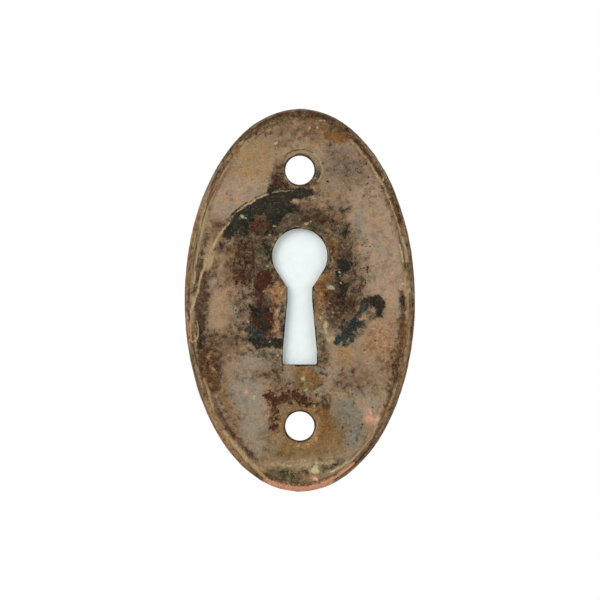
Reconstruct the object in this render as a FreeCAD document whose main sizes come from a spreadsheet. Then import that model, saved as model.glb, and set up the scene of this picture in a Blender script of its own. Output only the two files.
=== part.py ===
"""Oval keyhole escutcheon, stamped from one piece of sheet brass.

The plate stands upright as it does on a door: +Z is up, the door's face is
the plane y = 0 and the front of the plate looks along -Y. The origin is the
middle of the plate's back. Sizes are in millimetres.
"""
import FreeCAD, Part
import math
import os

import Sketcher

# Driving sizes: name, value and what it measures.
SIZES = [
    # The oval blank and its rolled rim.
    ("plate_width", 31.75, "width of the oval, across the rim"),
    ("plate_height", 52.7, "height of the oval, across the rim"),
    ("stock", 0.9, "thickness of the sheet"),
    ("rim_depth", 1.75, "door to the crest of the rim"),
    ("rim_roll", 1.2, "radius of the rim's rolled outer edge"),
    ("crest_width", 0.3, "flat crest between the roll and the fall"),
    ("fall_width", 0.4, "sloping fall from the crest to the field"),
    ("field_drop", 0.15, "depth of the field below the crest"),
    ("back_round", 0.4, "inside round where the rim meets the field"),
    # The keyhole.
    ("round_rise", 6.05, "middle of the plate up to the keyhole's round"),
    ("round_width", 7.6, "diameter of the keyhole's round"),
    ("shoulder_drop", 0.54, "bottom of the round down to the neck"),
    ("neck_width", 3.4, "width of the neck"),
    ("neck_length", 1.69, "straight part of the neck"),
    ("flare_length", 7.03, "widening part of the slot"),
    ("foot_width", 4.7, "width of the slot's foot"),
    ("foot_length", 1.82, "straight part of the foot"),
    ("foot_corner", 0.3, "round in the foot's two corners"),
    ("worn_edge", 0.15, "worn round on the keyhole's front edge"),
    # The two screw holes.
    ("top_margin", 8.5, "top of the oval down to the upper screw hole"),
    ("bottom_margin", 9.07, "bottom of the oval up to the lower screw hole"),
    ("screw_width", 4.0, "diameter of a screw hole"),
    ("seat_width", 5.64, "diameter of the shallow seat for a screw head"),
    ("seat_angle", 130.0, "opening angle of the seat, in degrees"),
]

# Places that follow from the driving sizes.
FIELD_HEIGHT = "(sizes.rim_depth - sizes.field_drop)"
CREST_INSET = "(sizes.rim_roll + sizes.crest_width)"
FIELD_INSET = "(" + CREST_INSET + " + sizes.fall_width)"

# Two points closer than this are one point.
TOUCH = 1e-4


def make_sheet(doc):
    """Enter the driving sizes in the table that the model reads."""
    sheet = doc.addObject("Spreadsheet::Sheet", "sizes")
    for row, (name, value, meaning) in enumerate(SIZES, start=1):
        sheet.set("A%d" % row, meaning)
        sheet.set("B%d" % row, str(value))
        sheet.setAlias("B%d" % row, name)
    doc.recompute()


def add_sketch(body, name, height="0"):
    """Start a sketch parallel to the door, this far in front of it."""
    door = [f for f in body.Origin.OriginFeatures if f.Role == "XZ_Plane"][0]
    sketch = body.newObject("Sketcher::SketchObject", name)
    sketch.AttachmentSupport = [(door, "")]
    sketch.MapMode = "FlatFace"
    sketch.setExpression("AttachmentOffset.Base.z", height)
    return sketch


def bind(sketch, constraint, formula):
    """Add a constraint whose value follows the table of sizes."""
    sketch.setExpression("Constraints[%d]" % sketch.addConstraint(constraint), formula)


def draw_oval(body, name, inset="0", height="0"):
    """Draw the plate's oval outline, moved in by the inset."""
    sketch = add_sketch(body, name, height)
    sheet = body.Document.sizes
    top = FreeCAD.Vector(0, sheet.plate_height / 2, 0)
    side = FreeCAD.Vector(sheet.plate_width / 2, 0, 0)
    oval = sketch.addGeometry(Part.Ellipse(top, side, FreeCAD.Vector()), False)
    sketch.exposeInternalGeometry(oval)
    long_axis, short_axis = oval + 1, oval + 2
    sketch.addConstraint(Sketcher.Constraint("Coincident", oval, 3, -1, 1))
    sketch.addConstraint(Sketcher.Constraint("PointOnObject", long_axis, 1, -2))
    half_height = Sketcher.Constraint("DistanceY", -1, 1, long_axis, 1, top.y)
    bind(sketch, half_height, "sizes.plate_height / 2 - " + inset)
    half_width = Sketcher.Constraint("DistanceX", -1, 1, short_axis, 2, side.x)
    bind(sketch, half_width, "sizes.plate_width / 2 - " + inset)
    return sketch


def edges_of(feature, wanted):
    """Name the edges of a feature for which the test holds."""
    edges = enumerate(feature.Shape.Edges, start=1)
    return ["Edge%d" % number for number, edge in edges if wanted(edge)]


def lies_at(edge, height):
    """Say whether an edge lies wholly in the plane this far off the door."""
    box = edge.BoundBox
    return abs(box.YMin + height) < TOUCH and abs(box.YMax + height) < TOUCH


def must_cut(before, after):
    """Stop if a cut took no metal away."""
    if not after.Shape.Volume < before.Shape.Volume:
        raise RuntimeError(after.Name + " cuts nothing")


def stamp_dish(body):
    """Blank the oval, roll its rim over and sink the field and the back."""
    sheet = body.Document.sizes

    blank = body.newObject("PartDesign::Pad", "blank")
    blank.Profile = draw_oval(body, "outline")
    blank.setExpression("Length", "sizes.rim_depth")
    body.Document.recompute()

    roll = body.newObject("PartDesign::Fillet", "rolled_rim")
    roll.Base = (blank, edges_of(blank, lambda edge: lies_at(edge, sheet.rim_depth)))
    roll.setExpression("Radius", "sizes.rim_roll")
    body.Document.recompute()
    must_cut(blank, roll)

    hollow = body.newObject("PartDesign::Pocket", "hollow_back")
    hollow.Profile = draw_oval(body, "hollow_outline", "sizes.stock")
    hollow.Reversed = True
    hollow.setExpression("Length", FIELD_HEIGHT + " - sizes.stock")
    body.Document.recompute()
    must_cut(roll, hollow)

    field = body.newObject("PartDesign::SubtractiveLoft", "field")
    field.Profile = draw_oval(body, "crest_outline", CREST_INSET, "sizes.rim_depth")
    field.Sections = [draw_oval(body, "field_outline", FIELD_INSET, FIELD_HEIGHT)]
    body.Document.recompute()
    must_cut(hollow, field)

    floor = sheet.rim_depth - sheet.field_drop - sheet.stock
    bend = body.newObject("PartDesign::Fillet", "inside_bend")
    bend.Base = (field, edges_of(field, lambda edge: lies_at(edge, floor)))
    bend.setExpression("Radius", "sizes.back_round")
    body.Document.recompute()
    return bend


def draw_keyhole(body):
    """Draw the keyhole: a round, two shoulders, a neck and a flared foot."""
    sketch = add_sketch(body, "keyhole_outline", FIELD_HEIGHT)
    sheet = body.Document.sizes
    radius = sheet.round_width / 2
    centre = FreeCAD.Vector(0, sheet.round_rise, 0)
    neck = FreeCAD.Vector(sheet.neck_width / 2, centre.y - radius - sheet.shoulder_drop, 0)
    flare = neck - FreeCAD.Vector(0, sheet.neck_length, 0)
    foot = FreeCAD.Vector(sheet.foot_width / 2, flare.y - sheet.flare_length, 0)
    end = foot - FreeCAD.Vector(0, sheet.foot_length, 0)

    # A shoulder runs from the neck's top to where it just touches the round.
    reach = neck - centre
    touch = math.atan2(reach.y, reach.x) + math.acos(radius / reach.Length)
    circle = Part.Circle(centre, FreeCAD.Vector(0, 0, 1), radius)
    arc = sketch.addGeometry(Part.ArcOfCircle(circle, touch, math.pi - touch), False)
    sketch.addConstraint(Sketcher.Constraint("PointOnObject", arc, 3, -2))
    bind(sketch, Sketcher.Constraint("DistanceY", -1, 1, arc, 3, centre.y), "sizes.round_rise")
    bind(sketch, Sketcher.Constraint("Radius", arc, radius), "sizes.round_width / 2")

    # Down the right side and down the left: shoulder, neck, flare and foot.
    sides = []
    for hand in (1, -1):
        shoulder = centre + FreeCAD.Vector(math.cos(touch) * radius, math.sin(touch) * radius, 0)
        corners = [FreeCAD.Vector(hand * p.x, p.y, 0) for p in (shoulder, neck, flare, foot, end)]
        lines = [
            sketch.addGeometry(Part.LineSegment(upper, lower), False)
            for upper, lower in zip(corners, corners[1:])
        ]
        for upper, lower in zip(lines, lines[1:]):
            sketch.addConstraint(Sketcher.Constraint("Coincident", upper, 2, lower, 1))
        sides.append(lines)
    right, left = sides
    sketch.addConstraint(Sketcher.Constraint("Tangent", arc, 1, right[0], 1))
    sketch.addConstraint(Sketcher.Constraint("Tangent", arc, 2, left[0], 1))
    for right_line, left_line in zip(right, left):
        sketch.addConstraint(Sketcher.Constraint("Symmetric", right_line, 2, left_line, 2, -2))
    bottom = sketch.addGeometry(Part.LineSegment(FreeCAD.Vector(-end.x, end.y, 0), end), False)
    sketch.addConstraint(Sketcher.Constraint("Coincident", left[3], 2, bottom, 1))
    sketch.addConstraint(Sketcher.Constraint("Coincident", bottom, 2, right[3], 2))

    shoulder_line, neck_line, flare_line, foot_line = right
    sketch.addConstraint(Sketcher.Constraint("Vertical", neck_line))
    sketch.addConstraint(Sketcher.Constraint("Vertical", foot_line))
    neck_half = Sketcher.Constraint("DistanceX", -1, 1, neck_line, 1, neck.x)
    bind(sketch, neck_half, "sizes.neck_width / 2")
    foot_half = Sketcher.Constraint("DistanceX", -1, 1, foot_line, 1, foot.x)
    bind(sketch, foot_half, "sizes.foot_width / 2")
    shoulder_fall = Sketcher.Constraint("DistanceY", neck_line, 1, arc, 3, centre.y - neck.y)
    bind(sketch, shoulder_fall, "sizes.round_width / 2 + sizes.shoulder_drop")
    for line, length in ((neck_line, "neck"), (flare_line, "flare"), (foot_line, "foot")):
        drop = sketch.Geometry[line].StartPoint.y - sketch.Geometry[line].EndPoint.y
        measure = Sketcher.Constraint("DistanceY", line, 2, line, 1, drop)
        bind(sketch, measure, "sizes." + length + "_length")
    return sketch


def punch_keyhole(body, before):
    """Punch the keyhole, round its foot and wear its front edge."""
    sheet = body.Document.sizes
    field_height = sheet.rim_depth - sheet.field_drop

    punch = body.newObject("PartDesign::Pocket", "keyhole")
    punch.Profile = draw_keyhole(body)
    punch.Type = "ThroughAll"
    body.Document.recompute()
    must_cut(before, punch)

    foot_end = (
        sheet.round_rise
        - sheet.round_width / 2
        - sheet.shoulder_drop
        - sheet.neck_length
        - sheet.flare_length
        - sheet.foot_length
    )

    def at_foot(edge):
        """Say whether an edge crosses the sheet at a corner of the foot."""
        box = edge.BoundBox
        at_end = abs(box.ZMin - foot_end) < TOUCH and abs(box.ZMax - foot_end) < TOUCH
        return at_end and box.XLength < TOUCH

    foot = body.newObject("PartDesign::Fillet", "foot_corners")
    foot.Base = (punch, edges_of(punch, at_foot))
    foot.setExpression("Radius", "sizes.foot_corner")
    body.Document.recompute()

    def on_front(edge):
        """Say whether an edge is on the keyhole's front outline."""
        return lies_at(edge, field_height) and edge.BoundBox.XMax < sheet.round_width

    wear = body.newObject("PartDesign::Fillet", "worn_keyhole")
    wear.Base = (foot, edges_of(foot, on_front))
    wear.setExpression("Radius", "sizes.worn_edge")
    body.Document.recompute()
    must_cut(foot, wear)
    return wear


def drill_screw_holes(body, before):
    """Drill the two screw holes, each with a shallow seat for its head."""
    sketch = add_sketch(body, "screw_centres", FIELD_HEIGHT)
    sheet = body.Document.sizes
    half_height = sheet.plate_height / 2
    upper = half_height - sheet.top_margin
    lower = sheet.bottom_margin - half_height
    axis = FreeCAD.Vector(0, 0, 1)
    for height, margin in ((upper, "top_margin"), (lower, "bottom_margin")):
        circle = Part.Circle(FreeCAD.Vector(0, height, 0), axis, sheet.screw_width / 2)
        hole = sketch.addGeometry(circle, False)
        sketch.addConstraint(Sketcher.Constraint("PointOnObject", hole, 3, -2))
        # A distance is measured upwards, so the lower hole comes first in its own.
        ends = (-1, 1, hole, 3) if height > 0 else (hole, 3, -1, 1)
        offset = Sketcher.Constraint("DistanceY", *ends, abs(height))
        bind(sketch, offset, "sizes.plate_height / 2 - sizes." + margin)
        bind(sketch, Sketcher.Constraint("Diameter", hole, sheet.screw_width), "sizes.screw_width")
    body.Document.recompute()

    holes = body.newObject("PartDesign::Hole", "screw_holes")
    holes.Profile = sketch
    holes.DepthType = "ThroughAll"
    holes.ThreadType = "None"
    holes.HoleCutType = "Countersink"
    holes.HoleCutCustomValues = True
    holes.setExpression("Diameter", "sizes.screw_width")
    holes.setExpression("HoleCutDiameter", "sizes.seat_width")
    holes.setExpression("HoleCutCountersinkAngle", "sizes.seat_angle")
    body.Document.recompute()
    must_cut(before, holes)
    return holes


def make_plate(doc):
    """Build the escutcheon plate from the blank to the drilled holes."""
    body = doc.addObject("PartDesign::Body", "escutcheon_plate")
    body.Label = "escutcheon_plate"
    body.Placement = FreeCAD.Placement()
    dish = stamp_dish(body)
    keyhole = punch_keyhole(body, dish)
    body.Tip = drill_screw_holes(body, keyhole)
    return body


def check(doc, plate):
    """Stop if anything in the document failed, or the plate isn't sound."""
    doc.recompute()
    for item in doc.Objects:
        if "Invalid" in item.State or "Error" in item.State:
            raise RuntimeError(item.Name + " failed: " + ", ".join(item.State))
    if plate.Shape.isNull() or not plate.Shape.isValid() or len(plate.Shape.Solids) != 1:
        raise RuntimeError("the plate is not one sound solid")


def main():
    doc = FreeCAD.newDocument("keyhole_escutcheon")
    make_sheet(doc)
    plate = make_plate(doc)
    check(doc, plate)
    os.makedirs("parts", exist_ok=True)
    plate.Shape.exportStep(os.path.join("parts", plate.Label + ".step"))
    print(plate.Label, plate.Shape.optimalBoundingBox(), round(plate.Shape.Volume, 1), "mm3")


main()
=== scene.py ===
"""Aged oval keyhole escutcheon: the looks of the stamped plate.

The plate's own solid is copied, its mesh made fine, and its face rubbed and dented a little. Its patina is
then laid on as named stains, each placed in millimetres from the middle of the plate: x to the right and z
up, seen from the front; some marks on the rim and round the screw holes are painted highlight and painted
shade. The front of the plate looks along -Y.
"""
import math
import random
from collections import namedtuple

import bmesh
import bpy
import numpy as np
from mathutils import Matrix, Vector, noise


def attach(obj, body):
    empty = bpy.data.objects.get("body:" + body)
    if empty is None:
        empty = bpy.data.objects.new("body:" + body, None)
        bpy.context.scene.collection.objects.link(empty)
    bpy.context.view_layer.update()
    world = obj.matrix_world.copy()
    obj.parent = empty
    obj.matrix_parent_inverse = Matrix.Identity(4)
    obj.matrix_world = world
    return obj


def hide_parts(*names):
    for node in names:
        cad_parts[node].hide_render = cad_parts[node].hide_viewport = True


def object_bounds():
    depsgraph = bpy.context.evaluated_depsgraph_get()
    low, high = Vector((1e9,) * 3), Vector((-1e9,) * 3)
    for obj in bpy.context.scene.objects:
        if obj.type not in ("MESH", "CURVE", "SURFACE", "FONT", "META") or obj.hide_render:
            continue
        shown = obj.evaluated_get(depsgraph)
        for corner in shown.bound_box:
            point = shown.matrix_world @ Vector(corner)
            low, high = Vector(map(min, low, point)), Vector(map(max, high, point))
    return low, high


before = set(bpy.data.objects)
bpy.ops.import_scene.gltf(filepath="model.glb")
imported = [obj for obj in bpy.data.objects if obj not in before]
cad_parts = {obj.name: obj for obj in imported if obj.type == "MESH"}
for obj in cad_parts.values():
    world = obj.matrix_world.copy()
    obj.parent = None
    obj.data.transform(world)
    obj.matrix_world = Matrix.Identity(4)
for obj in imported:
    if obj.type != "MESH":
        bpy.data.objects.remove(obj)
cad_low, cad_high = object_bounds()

MM = 0.001

# The oval and its features, in millimetres, as the solid has them.
HALF_WIDTH = (cad_high.x - cad_low.x) / 2 / MM
HALF_HEIGHT = (cad_high.z - cad_low.z) / 2 / MM
UPPER_SCREW = (0.0, 17.85)
LOWER_SCREW = (0.0, -17.28)
UPPER_SEAT = (0.2, 17.85)       # the dished ring that the screw's head wore
SCREW_RADIUS = 2.0
ROUND_CENTRE = (0.0, 6.05)
ROUND_RADIUS = 3.8
ROUND_ARC = (215, 505)          # clock angles from the neck's left, over the top, to its right
# The right side of the slot, from its shoulder down.
NECK = (1.7, 1.71)
FLARE = (1.7, 0.02)
FOOT = (2.35, -7.01)
FOOT_END = (2.35, -8.83)

SPECK_WIDTH = 0.24
SPECK_SOFT = 0.1
SPECK_COVER = (0.6, 1.0)        # lightest and darkest


def run(width, cover, soft, *line):
    """A stain drawn along a line: its width, its cover, its soft edge and its points."""
    return list(line), width / 2, cover, soft, False


def patch(cover, soft, *outline):
    """A stain that fills an outline: its cover, its soft edge and its corners."""
    return [*outline, outline[0]], 0.0, cover, soft, True


def rim(start, end, inset, steps=14):
    """A line that keeps its distance inside the oval, by clock angle in degrees."""
    line = []
    for step in range(steps + 1):
        angle = math.radians(start + (end - start) * step / steps)
        point = Vector((HALF_WIDTH * math.sin(angle), HALF_HEIGHT * math.cos(angle)))
        outward = Vector((point.x / HALF_WIDTH ** 2, point.y / HALF_HEIGHT ** 2)).normalized()
        line.append(tuple(point - outward * inset))
    return line


def ring(centre, radius, start=0, end=360, steps=24):
    """Part of a circle about a hole, by clock angle in degrees."""
    angles = [math.radians(start + (end - start) * step / steps) for step in range(steps + 1)]
    return [(centre[0] + radius * math.sin(a), centre[1] + radius * math.cos(a)) for a in angles]


def keyhole_edge():
    """The outline of the keyhole, closed, from its right shoulder round to itself."""
    right = [NECK, FLARE, FOOT, FOOT_END]
    left = [(-x, z) for x, z in reversed(right)]
    return right + left + ring(ROUND_CENTRE, ROUND_RADIUS, *ROUND_ARC) + right[:1]


def specks(seed, count, left, right, low, high):
    """Single dark specks scattered over a field."""
    chance = random.Random(seed)
    marks = []
    for _ in range(count):
        point = (chance.uniform(left, right), chance.uniform(low, high))
        marks.append(run(SPECK_WIDTH, chance.uniform(*SPECK_COVER), SPECK_SOFT, point))
    return marks


# Stains of patina, with a few marks of painted highlight and painted shade on the rim and round the screw
# holes.
STAINS = {
    "golden": [
        patch(0.9, 1.3, (-9.6, 16.6), (-8.8, 20.2), (-6.4, 22.2), (-4.2, 21.2), (-4.4, 17.4), (-6.6, 16.2)),
        patch(0.5, 1.2, (-12.6, 13.6), (-10.8, 16.4), (-9.6, 14.2), (-11.4, 11.2)),
        patch(0.8, 0.8, (4.8, -6.2), (7.2, -6.4), (7.4, -8.6), (5, -8.8)),
        patch(0.5, 0.8, (-3.4, 20.8), (3, 20.7), (3.4, 22.4), (-3, 22.6)),
        run(1.3, 1, 0.4, (-5.6, -23.2), (-4.6, -24)), run(0.8, 0.5, 0.4, (-2.6, -24.2), (-0.6, -24.6)),
        run(2, 0.8, 0.9, (-10.6, -12.4), (-9.2, -15.2), (-8, -17.6)),
    ],
    "pink": [
        patch(0.8, 1.1, (-11.8, 15.8), (-8.6, 17), (-6, 16.4), (-5.4, 15), (-9, 12.2), (-10.6, 11.2),
            (-12.6, 11.8)),
        patch(0.95, 1.2, (7, 15.8), (11.4, 15.2), (13.4, 9), (13.8, 4), (13.6, -1), (9.6, 1.4), (8.8, 5),
            (7.4, 8.4), (7.4, 12)),
        patch(0.55, 1, (9, -2.6), (13.2, -1.6), (13, -6.4), (10, -7.6), (7.6, -5.6)),
        patch(0.4, 0.9, (-9.8, -6), (-6, -6.6), (-4.8, -9.4), (-8, -10.6), (-10, -8.6)),
        run(1.6, 0.4, 1, (4.6, -9.8), (6.2, -10.4), (5.2, -12.4)),
        patch(1.2, 0.4, (9, -14.6), (9.9, -14.9), (11.2, -16.2), (10.8, -17), (9.4, -17), (8.4, -16.4)),
        patch(1, 0.4, (8.3, -2.6), (9.4, -1.4), (10.3, -1.4), (10.2, -2.4), (9.2, -3.2)),
    ],
    "warm": [
        patch(1, 0.7, (-12.7, -3.8), (-12.3, 0.6), (-11.6, 1.6), (-9.6, 1.2), (-9.4, -3.8), (-11.4, -4.8)),
        patch(0.75, 1.2, (9, -2.2), (13.2, -1.8), (13.4, -7), (11, -9.6), (8, -9), (7, -6.2)),
        patch(0.6, 1.1, (8.6, 13.6), (12.2, 13.8), (12.8, 10), (10, 9.4), (8.4, 11)),
        run(2.4, 0.5, 1, (-9.6, 13.2), (-11, 13.6)),
        run(1.8, 0.4, 0.9, (-4.4, 22.6), (-2, 23.6), (0.6, 24.2)),
    ],
    "shade": [
        run(1.3, 0.8, 0.5, (-11.2, 7.4), (-11.4, 5.4), (-11.8, 3.4)),
        patch(0.72, 0.7, (-9.2, 2.2), (-6.8, 1.8), (-6.5, -1.2), (-7.2, -5.2), (-9, -5), (-8.7, -2)),
        patch(0.7, 0.7, (-12, 3.6), (-6.4, 4), (-6.6, 1.4), (-9.4, 1.4), (-11.6, 1.8)),
        patch(0.5, 0.8, (-3.2, 22.4), (3.2, 22.4), (3.6, 20.7), (-3.4, 20.7)),
        patch(0.5, 0.8, (2.4, 15.8), (6.4, 15.2), (7.4, 12.6), (3.4, 12.8)),
        patch(0.3, 0.9, (-9.4, -9.2), (-5.2, -9.8), (-5.6, -11.6), (-9.4, -11.2)),
        run(1.6, 0.6, 0.5, (-4, -23.6), (0, -24.2), (3.4, -23)), run(1.2, 0.8, 0.6, (3.6, 23.2), (6, 22.4)),
        patch(0.85, 0.9, (-11.5, 2.4), (-10.8, 7.2), (-8.8, 9), (-4.4, 8.8), (-4, 3.6), (-6.2, 2.2),
            (-9.4, 1.6)),
        patch(0.8, 0.8, (-4.8, 22.8), (-2.8, 24.9), (2.6, 24.9), (6.6, 23.2), (7.2, 21.8), (4.2, 21.4),
            (-1, 22)),
        patch(0.66, 1, (5.2, -9), (9, -8.6), (11.6, -12.4), (8, -13.2), (4.6, -12)),
        patch(0.85, 0.8, (-13.4, -4), (-9, -4.4), (-6.4, -5.2), (-7.8, -7.6), (-10.2, -8.4), (-10.8, -13),
            (-13, -12)),
        patch(0.8, 0.6, (-12.6, 11.4), (-10.2, 11.2), (-9.4, 9.4), (-11.4, 7.6), (-13.1, 8)),
        patch(0.66, 0.9, (1.4, 13.4), (5.6, 13.2), (7.6, 11), (8.4, 5), (8.8, 1), (8.2, -2), (4.4, -4.6),
            (2, -2), (1.8, 1.6), (4, 3.4), (4.2, 8.4), (1, 10.2)),
        patch(0.75, 0.6, (2.6, 13.8), (-0.8, 13.8), (-1.2, 10.4), (3.2, 9.8), (4.2, 12)),
        patch(0.6, 0.8, (-5.6, -9.6), (-1.6, -9.8), (-1.4, -12.6), (2.6, -13.4), (4.2, -16), (-1.6, -14.6),
            (-4.4, -16.6), (-4.8, -13)),
        patch(0.4, 1.2, (10.2, -4.6), (12.8, -3), (13.8, -7), (12.6, -12.4), (10.4, -10.4), (9, -7.6)),
        run(1.6, 0.8, 1, (-2.7, 18.8), (-3.1, 17.6), (-3, 16.4)),
        run(1.4, 0.6, 0.8, (-12.6, -11), (-10.8, -15.6), (-8, -19.6), (-5.4, -22.2)),
        run(1.6, 0.6, 0.7, (7.4, 22), (10.2, 18), (12.4, 13.6), (13.4, 10.2)),
        patch(0.4, 1.2, (3.2, 21), (6.8, 21), (9.6, 17.2), (7.2, 15.4), (3.4, 16.6)),
        run(1.6, 0.6, 0.6, (-12.6, 3.8), (-12.4, 2.2)),
        run(1.6, 0.5, 0.8, (2.8, -5.2), (3.4, -8), (4.4, -9.4)),
        run(1.5, 0.95, 0.5, (4.8, 23.8), (6.6, 22.9), (8, 21.8)),
        run(1, 0.6, 0.6, (-12.5, 0.2), (-11.8, 1.4)), run(1.3, 0.6, 0.7, (-10.2, 1.5), (-9.2, 0.2)),
        run(1.4, 0.62, 0.7, (-10, -4.4), (-9.2, -2.6)),
    ],
    "grey": [
        patch(0.95, 0.9, (-9.6, -9.6), (-5.2, -10.2), (-4.9, -14.6), (-4.4, -18.6), (-5.2, -21.4),
            (-6.6, -21), (-8.6, -17.8), (-10, -13)),
        patch(0.7, 0.7, (-8.6, 0.6), (-7, 0.6), (-7.2, -3), (-8.2, -5), (-9.2, -3.8)),
        patch(0.8, 0.6, (-7.6, -6.8), (-5.4, -6.9), (-4.8, -8.8), (-6.6, -9.8), (-9, -8.2)),
        run(1.5, 0.8, 0.6, (-7.4, 14.4), (-6.2, 14.8)), run(1.6, 0.7, 0.6, (-10.6, 12), (-9.2, 12.2)),
        run(2, 0.7, 0.8, (8.2, 9), (8, 11.2), (8.6, 12.6)), run(1.8, 0.5, 0.8, (10.8, 7.4), (11.8, 6.4)),
        run(1.6, 0.8, 0.7, (8, -12.6), (9.6, -13.6), (10.2, -14.4)),
        run(1.2, 0.9, 0.5, (-12.4, 3), (-11.6, 2.2)),
        run(1.4, 0.5, 0.7, (3, -11.9), (5.2, -9.9), (6.2, -10.3)),
        run(1, 0.6, 0.5, (7.6, -20.9), (8.6, -19.6)), run(1.2, 0.6, 0.4, (-1.6, -9.8), (-1.2, -11.6)),
    ],
    "mauve": [
        patch(0.85, 1.1, (3.2, 21.6), (6.6, 21.4), (8.8, 19), (9.6, 16.8), (7, 16.4), (3.6, 17.2)),
        run(2.2, 0.4, 1, (4.4, 15.8), (6.2, 15.4)), run(1.2, 0.6, 0.5, (-12.6, 3.2), (-12.4, 1.8)),
    ],
    "teal_wash": [
        patch(0.95, 0.8, (5.2, -13.6), (7.6, -13.4), (8.8, -16), (8.6, -18), (7.6, -20.2), (5.4, -20.2),
            (6, -18), (5, -16.6)),
        run(1.6, 0.6, 0.7, (-4, -20.6), (-3.2, -21.4)), run(1.4, 0.7, 0.5, (3, -9.6), (2.2, -9.6)),
        run(1.2, 0.7, 0.5, (3.4, -1.6), (4.2, -2.4)), run(1.4, 0.4, 0.6, (6.6, 3), (7.6, 2.2)),
    ],
    "olive_gold": [
        patch(1, 1.5, (-4.8, -18.6), (-3.4, -17.4), (-2.8, -15.6), (-1.4, -14.4), (1, -14.2), (3.2, -14.8),
            (4.6, -16), (6.2, -17.2), (5.6, -19.6), (5.8, -20.6), (5, -21.3), (2, -21.7), (-2, -22),
            (-5.6, -22.2), (-4, -20.4), (-2.9, -19.2)),
        patch(0.85, 0.45, (2, 2.8), (4, 3.8), (4.8, 2.8), (4.6, 0.6), (3.4, -1.4), (2.6, -3.2), (2, -1)),
        run(1.4, 0.8, 0.5, (-4, -23.6), (0.4, -24.2)),
        patch(0.95, 0.4, (-0.9, -9.2), (1.6, -9.2), (3.2, -11), (2.6, -12.4), (0.4, -12.9), (-0.9, -12.4)),
        run(0.9, 0.7, 0.3, (-2.7, -15.6), (-2.9, -17.2), (-2.4, -19)),
        run(0.8, 0.8, 0.3, *ring(LOWER_SCREW, 2.6, 10, 170)),
        patch(0.9, 0.25, (-0.6, 15.4), (1.5, 15.3), (2.6, 16.2), (2.2, 16.6), (1, 15.8)),
        run(1.2, 0.7, 0.6, (5.8, -7), (6.2, -8.2)), run(0.6, 0.9, 0.2, (-14.5, -3.2), (-14.45, -4.6)),
        patch(0.85, 0.5, (-3.2, -20.4), (3.4, -20.4), (3.6, -21.8), (-3.4, -22.1)),
        run(1.6, 0.55, 0.8, (-10.2, -12.6), (-9.2, -15.2), (-8.2, -17.2)),
    ],
    "haze": [
        # Dark dirt round the keyhole, thickest to its right.
        patch(0.7, 0.9, (4.2, 10.2), (6.4, 11), (7.1, 8.8), (7.7, 5.6), (8.3, 3), (8.8, 0.6), (7.8, -2),
            (5.2, -4.2), (3.2, -2.6), (2.4, 0.6), (4.4, 2.8), (4.9, 6.4)),
        patch(0.36, 0.9, (7.6, 10.8), (9.4, 8.4), (10.4, 3.4), (9.6, -0.8), (7.6, -0.4), (7.4, 5.4)),
        patch(0.6, 0.9, (-9.8, 9.6), (-4.2, 10), (-4.2, 4.6), (-3.4, 2.2), (-3.2, -1.4), (-4.4, -3.2),
            (-6.8, -1.6), (-6.4, 2), (-9, 3.4)),
        patch(0.8, 0.7, (-7, 3.8), (-3.4, 4.2), (-3.6, -0.6), (-3.4, -5.4), (-7.2, -5.8), (-7.4, -1.2),
            (-6.4, 1)),
        patch(0.85, 0.8, (-8.6, 10.4), (-2, 12.6), (1.4, 12.8), (4.4, 11.8), (4.6, 10), (0, 10.1),
            (-4.2, 8.4), (-8, 8.6)),
        run(1.6, 0.5, 0.8, (-1, 14.2), (2.6, 13.6), (5.4, 12.2)),
        run(1.2, 0.5, 0.6, (2.8, -4.4), (3.2, -7), (3.2, -9)),
        patch(0.56, 0.5, (4.4, -5.6), (7.4, -2), (9.4, 0.8), (11.8, 0.2), (11.4, -2.4), (9.6, -3.2),
            (6.6, -6.2)),
        run(1.2, 0.5, 0.5, (0.6, 15.4), (2.2, 14.6), (2.8, 13.2)),
        run(1.4, 0.56, 0.6, (-6.6, -7), (-3.2, -7.6), (-2.8, -9.4)),
        run(1, 0.72, 0.45, *ring(ROUND_CENTRE, 4.5, 250, 350)),
        run(0.9, 0.7, 0.45, *ring(ROUND_CENTRE, 4.4, 10, 125)),
        patch(0.42, 0.7, (-9, 1.6), (-6.8, 1.4), (-6.6, -1.2), (-7.2, -5), (-9, -4.8)),
        patch(0.3, 0.8, (-9.2, -9), (-5.2, -9.6), (-5.6, -11.8), (-9.2, -11.4)),
        run(2.6, 0.22, 1.2, (9.6, -4.6), (12.4, -8.4)),
        run(1.8, 0.6, 0.8, (-13, -5), (-9, -5.2), (-7, -5.2)),
        patch(0.6, 0.9, (-14.4, -4.2), (-12.2, -6), (-10.8, -8.6), (-11.2, -13), (-13, -10.6)),
        patch(0.52, 0.8, (13.8, 0), (12.8, -4), (12.2, -9), (12, -13.6), (13.4, -11), (14.6, -4)),
        run(1.4, 0.75, 0.5, (-13.1, 4), (-13.1, 0), (-13.5, -4)),
        run(0.9, 0.75, 0.35, (2.6, 17.9), (2.7, 17.2), (2.2, 16.2), (0.6, 15.6)),
        run(1.2, 0.66, 0.5, (-2.8, 18.4), (-3.2, 17.4), (-3, 16.2)),
        patch(0.24, 1, (4, 21), (9.6, 19.4), (12, 13.6), (9, 12.8), (5, 15.8)),
        patch(0.8, 0.6, (3.6, -4.4), (5.6, -2.2), (8.8, 0.6), (7.4, 1.4), (4.4, -0.6)),
        run(1.2, 0.4, 0.6, (-9.6, 8.2), (-11.4, 7)), run(1.4, 0.5, 0.5, (-11.4, 10), (-10.2, 10.4)),
        run(1.6, 0.3, 1, (-5, -10.4), (-1, -11), (4, -12.4), (8, -11.4)),
    ],
    "umber": [
        # A faint brown grain over the bare fields.
        patch(0.17, 0.6, (-12.6, 1), (-9.4, 1.2), (-9.2, -4.2), (-12.6, -4)),
        patch(0.17, 0.8, (8.4, 14.4), (12.4, 12.6), (13.6, 6), (13.6, -1), (9.4, 0.6), (8.6, 6.4)),
        patch(0.22, 0.8, (-12.4, 13), (-9.6, 16.2), (-6.4, 15.4), (-10.4, 11.6)),
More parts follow.
